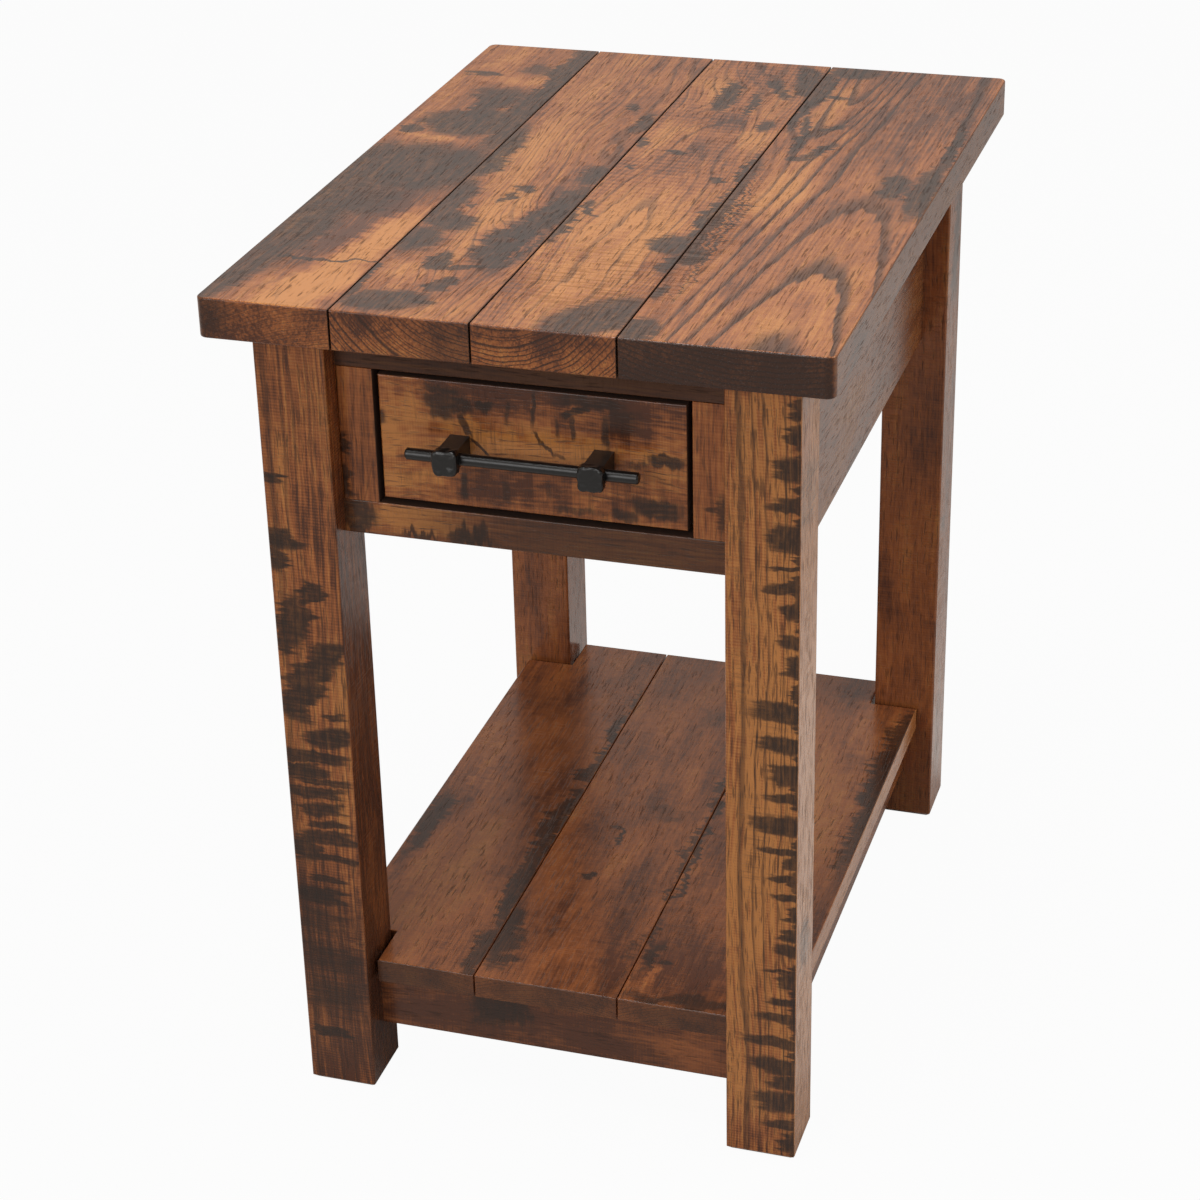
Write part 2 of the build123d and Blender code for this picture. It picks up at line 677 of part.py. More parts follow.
keep("drawer_front", drawer_front())
keep("drawer_box_front", box_front())
keep("drawer_box_back", drawer_end(1))
for side_name, side in SIDES.items():
    keep(f"drawer_side_{side_name}", drawer_side(side))
keep("drawer_bottom", bottom_panel())
keep("drawer_front_screws", [place * wood_screw(front_screw_length) for place in front_screw_places()])
keep("pull_bar", pull_bar())
for side_name, side in SIDES.items():
    keep(f"pull_post_{side_name}", pull_post(side))
keep("pull_screws", [place * machine_screw() for place in pull_screw_places()])

shelf_places = shelf_screw_places()
shelf_planks = shelf_boards()
for place in shelf_places:
    shelf_planks = [plank - place * POINTS_UP * screw_hole(shelf_screw_length) for plank in shelf_planks]
for index, plank in enumerate(shelf_planks, start=1):
    keep(f"shelf_board_{index}", plank)
for side_name, side in SIDES.items():
    keep(f"shelf_rail_{side_name}", side_rail(side, shelf_rail_outer_x, shelf_rail_thickness,
                                              shelf_rail_bottom, shelf_underside, shelf_side_tenon))
for end_name, end in ENDS.items():
    rail = cross_rail(end, shelf_rail_outer_y, shelf_rail_thickness, shelf_rail_bottom, shelf_underside,
                      shelf_cross_tenon)
    for place in shelf_places:
        rail -= place * POINTS_UP * screw_hole(shelf_screw_length)
        rail -= place * Pos(0, 0, -shelf_counterbore_depth) * Cylinder(
            shelf_counterbore_radius, 2 * shelf_counterbore_depth)
    keep(f"shelf_rail_{end_name}", rail)
keep("shelf_screws", [place * POINTS_UP * wood_screw(shelf_screw_length) for place in shelf_places])

# ---- Files --------------------------------------------------------------------------
os.makedirs("parts", exist_ok=True)
for name, shape in nodes.items():
    export_step(shape, f"parts/{name}.step")
print(f"{len(nodes)} nodes written")
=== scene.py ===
"""Rustic hickory end table with one drawer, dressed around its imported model.

Metres, in the table's own frame: the floor is z = 0, the top's boards run along Y and
the drawer opens towards -Y. Sizes of wood figure are given in millimetres.
"""
import math

import bpy
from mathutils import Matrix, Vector


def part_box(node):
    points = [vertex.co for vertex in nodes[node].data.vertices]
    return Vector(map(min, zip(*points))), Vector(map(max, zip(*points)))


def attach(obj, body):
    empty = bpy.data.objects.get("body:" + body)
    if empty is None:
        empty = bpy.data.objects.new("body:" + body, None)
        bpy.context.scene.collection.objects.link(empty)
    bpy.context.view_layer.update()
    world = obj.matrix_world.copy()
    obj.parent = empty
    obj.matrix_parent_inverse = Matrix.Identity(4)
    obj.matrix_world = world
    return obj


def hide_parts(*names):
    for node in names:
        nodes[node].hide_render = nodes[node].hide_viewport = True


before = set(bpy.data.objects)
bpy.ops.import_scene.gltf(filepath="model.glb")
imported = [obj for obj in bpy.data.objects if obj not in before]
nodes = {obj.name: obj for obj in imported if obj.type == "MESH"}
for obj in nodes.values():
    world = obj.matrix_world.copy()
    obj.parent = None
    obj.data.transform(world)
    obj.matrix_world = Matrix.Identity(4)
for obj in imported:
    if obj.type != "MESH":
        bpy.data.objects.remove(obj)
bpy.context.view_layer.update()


# ---- Camera -------------------------------------------------------------------------
# A long lens that stands to the right of the drawer side and looks down on the top.
camera_data = bpy.data.cameras.new("camera")
camera_data.sensor_width = 36.0
camera_data.lens = 86.55
camera = bpy.data.objects.new("camera", camera_data)
camera.location = (0.5495, -1.8117, 1.2571)
camera.rotation_euler = [math.radians(angle) for angle in (62.80, 1.28, 17.22)]
bpy.context.scene.collection.objects.link(camera)
bpy.context.scene.camera = camera
bpy.context.scene.view_settings.view_transform = "Standard"


# ---- Studio ---------------------------------------------------------------------------
# A pale floor in a white room, with three large soft lamps: overhead, in front on the left,
# and on the right. The lacquer's gloss sees the room as cream, brightest at its far wall.
def linear(hex_colour):
    """The linear values of an sRGB hex colour, as shader sockets take them."""
    channels = [int(hex_colour[start:start + 2], 16) / 255 for start in (1, 3, 5)]
    return [c / 12.92 if c <= 0.04045 else ((c + 0.055) / 1.055) ** 2.4 for c in channels] + [1.0]


def add(tree, kind, settings=None, sockets=None):
    """Adds a shader node, with its settings and with its sockets linked or filled."""
    made = tree.nodes.new("ShaderNode" + kind)
    for name, value in (settings or {}).items():
        setattr(made, name, value)
    for key, value in (sockets or {}).items():
        if isinstance(value, bpy.types.Node):
            value = next(output for output in value.outputs if output.enabled)
        if isinstance(value, bpy.types.NodeSocket):
            tree.links.new(value, made.inputs[key])
        else:
            made.inputs[key].default_value = value
    return made


ROOM_FILL = 0.25               # the white room's strength as a lamp
ROOM_SEEN = 1.0                # and as the camera and reflections see it
# The share of that in reflections, by the rise of the direction: the far wall is brightest.
ROOM_SHINE = {0.18: 0.10, 0.28: 0.28, 0.35: 1.00, 0.46: 1.00, 0.56: 0.40}
CREAM = "#FFF7F0"              # the colour of walls and floor in reflections
FLOOR_SIZE = 14.0
FLOOR_GLOW = 0.96              # share of plain white in the floor as the camera sees it
# The share of cream in it as reflections see it, graded along Y, and cut under the table to a painted
# shadow.
FLOOR_SHINE = {-0.45: 0.35, -0.12: 0.86, 0.30: 0.88, 0.75: 0.44, 1.20: 0.50, 1.70: 0.32}
SHINE_UNDER = 0.06
UNDER_FROM, UNDER_TO = -0.03, 0.06  # where that fades, from the legs' outer corners
MIX_A, MIX_B = 6, 7            # the colour sockets of a Mix node


def seen_directly(tree, by_camera, by_gloss):
    """A share for the camera's rays, another for gloss and glass, and 0 for the light."""
    path = add(tree, "LightPath")
    gloss = add(tree, "Math", {"operation": "MAXIMUM"},
                {0: path.outputs["Is Glossy Ray"], 1: path.outputs["Is Transmission Ray"]})
    gloss = add(tree, "Math", {"operation": "MULTIPLY"}, {0: gloss, 1: by_gloss})
    camera_ray = add(tree, "Math", {"operation": "MULTIPLY"},
                     {0: path.outputs["Is Camera Ray"], 1: by_camera})
    return add(tree, "Math", {"operation": "MAXIMUM"}, {0: camera_ray, 1: gloss})


def cream_in_gloss(tree):
    """White, and the cream of walls and floor in reflections."""
    return add(tree, "Mix", {"data_type": "RGBA"},
               {0: seen_directly(tree, 0.0, 1.0), MIX_A: linear("#FFFFFF"), MIX_B: linear(CREAM)})


def graded(tree, value, shares):
    """A share that eases from one entry of a table {value: share} to the next."""
    share = shares[min(shares)]
    for start, end in zip(sorted(shares), sorted(shares)[1:]):
        change = shares[end] - shares[start]
        step = add(tree, "MapRange", {"interpolation_type": "SMOOTHSTEP"},
                   {"Value": value, "From Min": start, "From Max": end, "To Max": change})
        share = add(tree, "Math", {"operation": "ADD"}, {0: share, 1: step})
    return share


world = bpy.data.worlds.new("white_room")
bpy.context.scene.world = world
world.use_nodes = True
tree = world.node_tree
tree.nodes.clear()
direction = add(tree, "TexCoord").outputs["Generated"]
rise = add(tree, "SeparateXYZ", {}, {0: direction}).outputs[2]
share = seen_directly(tree, 1.0, graded(tree, rise, ROOM_SHINE))
strength = add(tree, "MapRange", {}, {"Value": share, "To Min": ROOM_FILL, "To Max": ROOM_SEEN})
background = add(tree, "Background", {}, {"Color": cream_in_gloss(tree), "Strength": strength})
add(tree, "OutputWorld", {}, {"Surface": background})

bpy.ops.mesh.primitive_plane_add(size=FLOOR_SIZE, location=(0, 0, 0))
floor = bpy.context.object
floor.name = "floor"
floor_material = bpy.data.materials.new("pale_floor")
floor_material.use_nodes = True
tree = floor_material.node_tree
tree.nodes.clear()
matte = add(tree, "BsdfDiffuse", {}, {"Color": linear("#B4B2AF")})
glow = add(tree, "Emission", {}, {"Color": cream_in_gloss(tree), "Strength": 1.0})
place_on_floor = add(tree, "TexCoord").outputs["Object"]
behind = add(tree, "SeparateXYZ", {}, {0: place_on_floor}).outputs[1]
# The floor's glow, as reflections see it, is cut under the table: a painted shadow.
leg_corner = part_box("leg_back_right")[1]
outside = add(tree, "VectorMath", {"operation": "ABSOLUTE"}, {0: place_on_floor})
outside = add(tree, "VectorMath", {"operation": "SUBTRACT"}, {0: outside, 1: leg_corner})
outside = add(tree, "SeparateXYZ", {}, {0: outside})
outside = add(tree, "Math", {"operation": "MAXIMUM"}, {0: outside.outputs[0], 1: outside.outputs[1]})
shaded = add(tree, "MapRange", {"interpolation_type": "SMOOTHSTEP"},
             {"Value": outside, "From Min": UNDER_FROM, "From Max": UNDER_TO,
              "To Min": SHINE_UNDER, "To Max": 1.0})
shine = add(tree, "Math", {"operation": "MULTIPLY"}, {0: graded(tree, behind, FLOOR_SHINE), 1: shaded})
share = seen_directly(tree, FLOOR_GLOW, shine)
blend = add(tree, "MixShader", {}, {0: share, 1: matte, 2: glow})
add(tree, "OutputMaterial", {}, {"Surface": blend})
floor.data.materials.append(floor_material)

LAMP_AIM = Vector((0, 0, 0.35))
SOFT_LAMPS = {
    # name: (place, size, watts)
    "overhead_softbox": ((-0.25, -0.6, 2.5), 0.8, 23.0),
    "front_softbox": ((-0.7, -2.7, 1.4), 1.4, 20.5),
    "right_softbox": ((1.9, 0.3, 2.4), 1.2, 25.0),
}
for lamp_name, (place, size, watts) in SOFT_LAMPS.items():
    lamp_data = bpy.data.lights.new(lamp_name, "AREA")
    lamp_data.size = size
    lamp_data.energy = watts
    lamp = bpy.data.objects.new(lamp_name, lamp_data)
    lamp.location = place
    lamp.rotation_euler = (LAMP_AIM - Vector(place)).to_track_quat("-Z", "Y").to_euler()
    bpy.context.scene.collection.objects.link(lamp)


# ---- Top ------------------------------------------------------------------------------
# Four planks of solid hickory edge to edge, sawn rough, sanded, stained brown and sprayed
# with satin lacquer. The stain sits dark in the pores, in the year rings and round knots.
MM = 0.001
GRAIN_AXIS = {"X": (1, 0, 0), "Y": (0, 1, 0), "Z": (0, 0, 1)}
GRAIN_TURN = {"X": (0, 0, -math.pi / 2), "Y": (0, 0, 0), "Z": (math.pi / 2, 0, 0)}
FACES = {
    # face: (axis to the right, axis up, axis into the wood, 0 for its low side or 1)
    "top": (0, 1, 2, 1), "front": (0, 2, 1, 0), "right": (1, 2, 0, 1),
}
SPECIES = {
    # species: (gold, plain, deep, colour of the year lines and pores)
    "hickory": ("#CC8649", "#A76236", "#5E3522", "#36221A"),
}
STAIN = "#30221B"
LACQUER_IOR = 1.4
WOOD_LAYERS = {
    # layer: (millimetres across the grain, millimetres along it, octaves)
    "figure": (26.0, 90.0, 3.0),      # slow change between gold and brown
    "curl": (7.0, 10.0, 2.0),         # short waves of curly figure
    "fibre": (1.8, 70.0, 3.0),
    "wriggle": (7.0, 40.0, 1.0),      # small wander of the year rings
    "pore": (1.3, 18.0, 2.0),
    "scratch": (30.0, 2.0, 2.0),      # marks of the saw, square to the grain
    "cloud": (26.0, 36.0, 3.0),       # wander of a stain's outline
    "tatter": (4.0, 7.0, 4.0),        # its small tears
    "comb": (60.0, 4.5, 3.0),         # and the teeth that the saw gave it
}
TONE_WEIGHTS = {"pore": 0.6, "scratch": 0.35, "tatter": 0.25}
DRIFT_ACROSS, DRIFT_ALONG = 70.0, 260.0
TEAR, TOOTH = 0.2, 55.0        # reach of tears and teeth: a share of the wander, and millimetres
PATCH_DEPTH = 60.0             # how far a stain soaks in
PATCH_EDGE = (1.6, 0.4)        # where it starts and is full, in shares of its radii
FACE_TURN = (0.5, 0.8)         # and how squarely a face has to look its way
HALO, CORE = (0.12, 0.92, 0.55), (0.36, 0.7, 0.4)  # of a stain: start, full and strength
MOTTLE = (0.85, 1.25, 0.78)    # where clouds thin a stain: start, full and share left
TINTS = {"gold": 0.5, "brown": -0.5}
INKS = {"ring": 0.9, "pore": 0.65, "scratch": 0.5, "smoke_and_shade": 0.8, "dark": 1.0, "kerf": 0.9}
RELIEF = 0.2                   # depth of pores and scratches under the lacquer
SHEEN = (0.22, 0.45)           # roughness of smooth lacquer, and of lacquer over pores
DULLED_IN_SHADE = (0.95, 1.1, 0.7)   # where the even darkening is past full, as painted shade, the gloss is dulled too: start, full and added roughness
BAND_WIDTH = 13.0              # between the steps where the saw changed pace
JOINT_REACH = 1.0              # how far the glaze comes out of each side of the kerf between boards
PLAIN_BOARD = {
    "shade": 0.0,              # darker wood, or paler where it is below 0
    "ring_width": 3.2,         # of the year rings on the sides
    "taper": (0.02, 0.02),     # of the log, on the near and on the far half of the board
    "wobble": 5.0,             # how far the board drifts about its log
    "uneven": 2.0,             # how much the rings differ in width
    "line_share": 0.2,         # share of a ring that its dark early wood takes
    "rings": (0.1, 0.5),       # strength of the faintest and of the boldest year line
    "end_pith": (10, -160),    # heart of the rings that the ends show, their width and strength
    "end_ring_width": 2.0,
    "end_rings": 0.6,
    "saw": 0.35,               # strength of the saw's scratches, their pitch, and how much
    "saw_pitch": 2.2,          # the tone follows them
    "ripple": 0.04,
    "bands": 0.0,              # steps in tone where the saw changed pace
    "wander": 36.0,            # how far a stain's outline wanders
    "teeth": 0.35,             # how much it follows the teeth of the saw
    "ragged": 1.0,             # how torn its edge is
    "blocky": False,           # whether its corners are square, as broad saw marks leave them
    "fibre": 1.3,              # how much the tone follows the fibres
    "curl": 0.35,              # and the curly figure
    "pores_from": 0.57,        # lower where there are more pores
    "swells": (),              # (place, radii, rings) where the rings bulge, as under a knot
    "joints": (),              # sides that have a glazed kerf beside the next board
    "seed": 0.0,
}


def bend_round_log(tree, local, wobble, seed):
    """The board drifts about its log, so that the rings wander along it."""
    placed = add(tree, "VectorMath", {"operation": "MULTIPLY_ADD"},
                 {0: local, 1: (1 / DRIFT_ACROSS, 1 / DRIFT_ALONG, 1 / DRIFT_ACROSS), 2: (seed, seed, seed)})
    drift = add(tree, "TexNoise", {}, {"Vector": placed, "Scale": 1.0, "Detail": 2.0})
    shift = add(tree, "VectorMath", {"operation": "MULTIPLY_ADD"},
                {0: drift.outputs["Color"], 1: (4 * wobble, 0, 4 * wobble),
                 2: (-2 * wobble, 0, -2 * wobble)})
    return add(tree, "VectorMath", {"operation": "ADD"}, {0: local, 1: shift})


def wood_layers(tree, bent, seed):
    """The clouds of every layer of the wood, each stretched along the grain."""
    layers = {}
    for number, (layer, (across, along, octaves)) in enumerate(WOOD_LAYERS.items(), start=1):
        offset = (seed + 7.3 * number, seed - 3.1 * number, seed + 5.9 * number)
        placed = add(tree, "VectorMath", {"operation": "MULTIPLY_ADD"},
                     {0: bent, 1: (1 / across, 1 / along, 1 / across), 2: offset})
        layers[layer] = add(tree, "TexNoise", {}, {"Vector": placed, "Scale": 1.0, "Detail": octaves})
    return layers


def tear_outline(tree, position, layers, grain, look):
    """Bends the stains' coordinates: outlines wander, tear and follow the teeth of the saw."""
    wander = look["wander"]
    tooth = [look["teeth"] * TOOTH * (1 - share) for share in GRAIN_AXIS[grain]]
    bends = (("cloud", "Color", (wander,) * 3), ("tatter", "Color", (TEAR * wander,) * 3),
             ("comb", "Fac", tooth))
    for layer, output, reach in bends:
        bend = add(tree, "VectorMath", {"operation": "MULTIPLY_ADD"},
                   {0: layers[layer].outputs[output], 1: [length * MM for length in reach],
                    2: [-length * MM / 2 for length in reach]})
        position = add(tree, "VectorMath", {"operation": "ADD"}, {0: position, 1: bend})
    return position


def lay_patches(tree, position, outline, normal, box, patches, blocky):
    """The strength of each kind of patch over the board.

    Gold and brown change the tone, dark is mineral stain and clear a hole in it, and the even
    kind is a thin even stain, but in the gap round the drawer and under the top's overhang it is
    painted shade; past full strength it also takes the lacquer's gloss. Sawn is rough wood, and
    quiet has no year lines. Each patch stays on its face.
    """
    fields = {}
    for (kind, face), rows in patches.items():
        right_axis, up_axis, deep_axis, far_side = FACES[face]
        outwards = [0, 0, 0]
        outwards[deep_axis] = 2 * far_side - 1
        on_face = add(tree, "VectorMath", {"operation": "DOT_PRODUCT"}, {0: normal, 1: outwards})
        on_face = add(tree, "MapRange", {},
                      {"Value": on_face.outputs["Value"],
                       "From Min": FACE_TURN[0], "From Max": FACE_TURN[1]})
        strongest = 0.0
        for across, up, wide, tall, turn, amount in rows:
            place, radii, angles = [0, 0, 0], [0, 0, 0], [0, 0, 0]
            place[right_axis], place[up_axis] = across * MM, up * MM
            place[deep_axis] = box[far_side][deep_axis]
            radii[right_axis], radii[up_axis], radii[deep_axis] = wide * MM, tall * MM, PATCH_DEPTH * MM
            angles[deep_axis] = math.radians(turn if deep_axis != 1 else -turn)
            spot = add(tree, "Mapping", {"vector_type": "TEXTURE"},
                       {"Vector": position if kind == "smoke_and_shade" else outline, "Location": place,
                        "Rotation": angles, "Scale": radii})
            if blocky:
                spot = add(tree, "VectorMath", {"operation": "MULTIPLY"}, {0: spot, 1: spot})
            spot = add(tree, "VectorMath", {"operation": "LENGTH"}, {0: spot}).outputs["Value"]
            if blocky:
                spot = add(tree, "Math", {"operation": "SQRT"}, {0: spot})
            spot = add(tree, "MapRange", {"interpolation_type": "SMOOTHSTEP"},
                       {"Value": spot, "From Min": PATCH_EDGE[0], "From Max": PATCH_EDGE[1],
                        "To Max": amount})
            strongest = add(tree, "Math", {"operation": "MAXIMUM"}, {0: strongest, 1: spot})
        strongest = add(tree, "Math", {"operation": "MULTIPLY"}, {0: strongest, 1: on_face})
        fields[kind] = add(tree, "Math", {"operation": "MAXIMUM"},
                           {0: fields.get(kind, 0.0), 1: strongest})
    return fields


def soak(tree, fields, layers, look):
    """The dark stain with its holes and tears, a soft halo round a dense core, mottled."""
    teeth, ragged = look["teeth"], look["ragged"]
    torn = fields["dark"]
    if "clear" in fields:
        torn = add(tree, "Math", {"operation": "SUBTRACT"}, {0: torn, 1: fields["clear"]})
    tears = (("tatter", 0.7), ("scratch", 0.3 + 0.6 * teeth), ("fibre", 0.6 - 0.3 * teeth))
    for layer, weight in tears:
        tear = add(tree, "Math", {"operation": "MULTIPLY_ADD"},
                   {0: layers[layer], 1: weight * ragged, 2: -weight * ragged / 2})
        torn = add(tree, "Math", {"operation": "ADD"}, {0: torn, 1: tear})
    halo, core = (
        add(tree, "MapRange", {"interpolation_type": "SMOOTHSTEP"},
            {"Value": torn, "From Min": start, "From Max": full, "To Max": strength})
        for start, full, strength in (HALO, CORE))
    dark = add(tree, "Math", {"operation": "ADD"}, {0: halo, 1: core})
    mottled = add(tree, "Math", {"operation": "ADD"},
                  {0: layers["scratch" if teeth > 0.5 else "fibre"], 1: layers["tatter"]})
    mottled = add(tree, "MapRange", {},
                  {"Value": mottled, "From Min": MOTTLE[0], "From Max": MOTTLE[1],
                   "To Min": 1.0, "To Max": MOTTLE[2]})
    return add(tree, "Math", {"operation": "MULTIPLY"}, {0: dark, 1: mottled})


def count_rings(tree, bent, position, high, wriggle, pith, look):
    """Counts the year rings on the board's sides, outwards from the heart of the log."""
    parts = add(tree, "SeparateXYZ", {}, {0: bent})
    section = add(tree, "CombineXYZ", {}, {0: parts.outputs[0], 2: parts.outputs[2]})
    out = add(tree, "VectorMath", {"operation": "SUBTRACT"}, {0: section, 1: (pith[0], 0, pith[1])})
    square = add(tree, "VectorMath", {"operation": "DOT_PRODUCT"}, {0: out, 1: out})
    depth = add(tree, "Math", {"operation": "MULTIPLY"},
                {0: square.outputs["Value"], 1: 1 / (2 * math.hypot(*pith))})
    near_cone, far_cone = (
        add(tree, "Math", {"operation": "MULTIPLY"}, {0: parts.outputs[1], 1: taper})
        for taper in look["taper"])
    cone = add(tree, "Math", {"operation": "SMOOTH_MIN"}, {0: near_cone, 1: far_cone, 2: 1.0})
    depth = add(tree, "Math", {"operation": "ADD"}, {0: depth, 1: cone})
    depth = add(tree, "Math", {"operation": "MULTIPLY_ADD"}, {0: wriggle, 1: 3.0, 2: depth})
    count = add(tree, "Math", {"operation": "MULTIPLY"}, {0: depth, 1: 1 / look["ring_width"]})
    for (across, up), (wide, tall), rise in look["swells"]:
        eye = add(tree, "Mapping", {"vector_type": "TEXTURE"},
                  {"Vector": position, "Location": (across * MM, up * MM, high.z),
                   "Scale": (wide * MM, tall * MM, PATCH_DEPTH * MM)})
        reach = add(tree, "VectorMath", {"operation": "LENGTH"}, {0: eye}).outputs["Value"]
        swell = add(tree, "MapRange", {"interpolation_type": "SMOOTHERSTEP"},
                    {"Value": reach, "From Min": 1.4, "From Max": 0.0, "To Max": rise})
        count = add(tree, "Math", {"operation": "ADD"}, {0: count, 1: swell})
    return count


def count_end_rings(tree, local, cloud, look):
    """Counts the rings that the ends show, which have a heart and a width of their own."""
    heart = (look["end_pith"][0], 0, look["end_pith"][1])
    out = add(tree, "VectorMath", {"operation": "SUBTRACT"}, {0: local, 1: heart})
    out = add(tree, "VectorMath", {"operation": "MULTIPLY"}, {0: out, 1: (1, 0, 1)})
    out = add(tree, "VectorMath", {"operation": "LENGTH"}, {0: out}).outputs["Value"]
    count = add(tree, "Math", {"operation": "MULTIPLY_ADD"}, {0: cloud, 1: 5.0, 2: out})
    return add(tree, "Math", {"operation": "MULTIPLY"}, {0: count, 1: 1 / look["end_ring_width"]})


def draw_rings(tree, count, end, look):
    """The dark line of open pores where each year's ring begins, bolder in some years."""
    spread = add(tree, "TexNoise", {"noise_dimensions": "1D"}, {"W": count, "Scale": 0.4, "Detail": 1.0})
    count = add(tree, "Math", {"operation": "MULTIPLY_ADD"},
                {0: spread.outputs["Fac"], 1: look["uneven"], 2: count})
    year = add(tree, "Math", {"operation": "FLOOR"}, {0: count})
    age = add(tree, "Math", {"operation": "FRACT"}, {0: count})
    early = add(tree, "ValToRGB", {}, {"Fac": age})
    ramp = early.color_ramp
    ramp.elements[0].color = (0.4, 0.4, 0.4, 1)
    ramp.elements[1].color = (0.1, 0.1, 0.1, 1)
    share = look["line_share"]
    for stop, value in ((0.2 * share, 1.0), (share, 0.8), (share + 0.15, 0.1), (0.85, 0.0)):
        ramp.elements.new(stop).color = (value, value, value, 1)
    vigour = add(tree, "TexWhiteNoise", {"noise_dimensions": "1D"}, {"W": year})
    vigour = add(tree, "MapRange", {},
                 {"Value": vigour.outputs["Value"], "To Min": look["rings"][0], "To Max": look["rings"][1]})
    vigour = add(tree, "Mix", {}, {0: end, 2: vigour, 3: look["end_rings"]})
    return add(tree, "Math", {"operation": "MULTIPLY"}, {0: early.outputs["Color"], 1: vigour})


def grade_tone(tree, layers, fields, wave, along, look):
    """The tone of the bare wood: 0 is deep brown, 0.5 plain, 1 gold."""
    tone = add(tree, "Math", {"operation": "MULTIPLY_ADD"},
               {0: layers["figure"], 1: 1.4, 2: -0.2 - look["shade"]})
    for layer, weight in {"fibre": look["fibre"], "curl": look["curl"], **TONE_WEIGHTS}.items():
        lift = add(tree, "Math", {"operation": "MULTIPLY_ADD"},
                   {0: layers[layer], 1: weight, 2: -weight / 2})
        tone = add(tree, "Math", {"operation": "ADD"}, {0: tone, 1: lift})
    tone = add(tree, "Math", {"operation": "MULTIPLY_ADD"}, {0: wave, 1: look["ripple"], 2: tone})
    for kind, weight in TINTS.items():
        if kind in fields:
            tone = add(tree, "Math", {"operation": "MULTIPLY_ADD"}, {0: fields[kind], 1: weight, 2: tone})
    if look["bands"]:
        step = add(tree, "Math", {"operation": "MULTIPLY"}, {0: along, 1: 1 / BAND_WIDTH})
        step = add(tree, "Math", {"operation": "FLOOR"}, {0: step})
        step = add(tree, "TexWhiteNoise", {"noise_dimensions": "1D"}, {"W": step})
        step = add(tree, "Math", {"operation": "MULTIPLY_ADD"},
                   {0: step.outputs["Value"], 1: look["bands"], 2: -look["bands"] / 2})
        tone = add(tree, "Math", {"operation": "ADD"}, {0: tone, 1: step})
    return tone


def glaze_kerf(tree, local, side, width):
    """The dark glaze along one side of a board, in the kerf beside the next one."""
    across = add(tree, "SeparateXYZ", {}, {0: local}).outputs[0]
    gap = add(tree, "Math", {"operation": "SUBTRACT"}, {0: across, 1: side * width / MM / 2})
    gap = add(tree, "Math", {"operation": "ABSOLUTE"}, {0: gap})
    return add(tree, "MapRange", {},
               {"Value": gap, "From Min": JOINT_REACH, "From Max": 0.6 * JOINT_REACH})


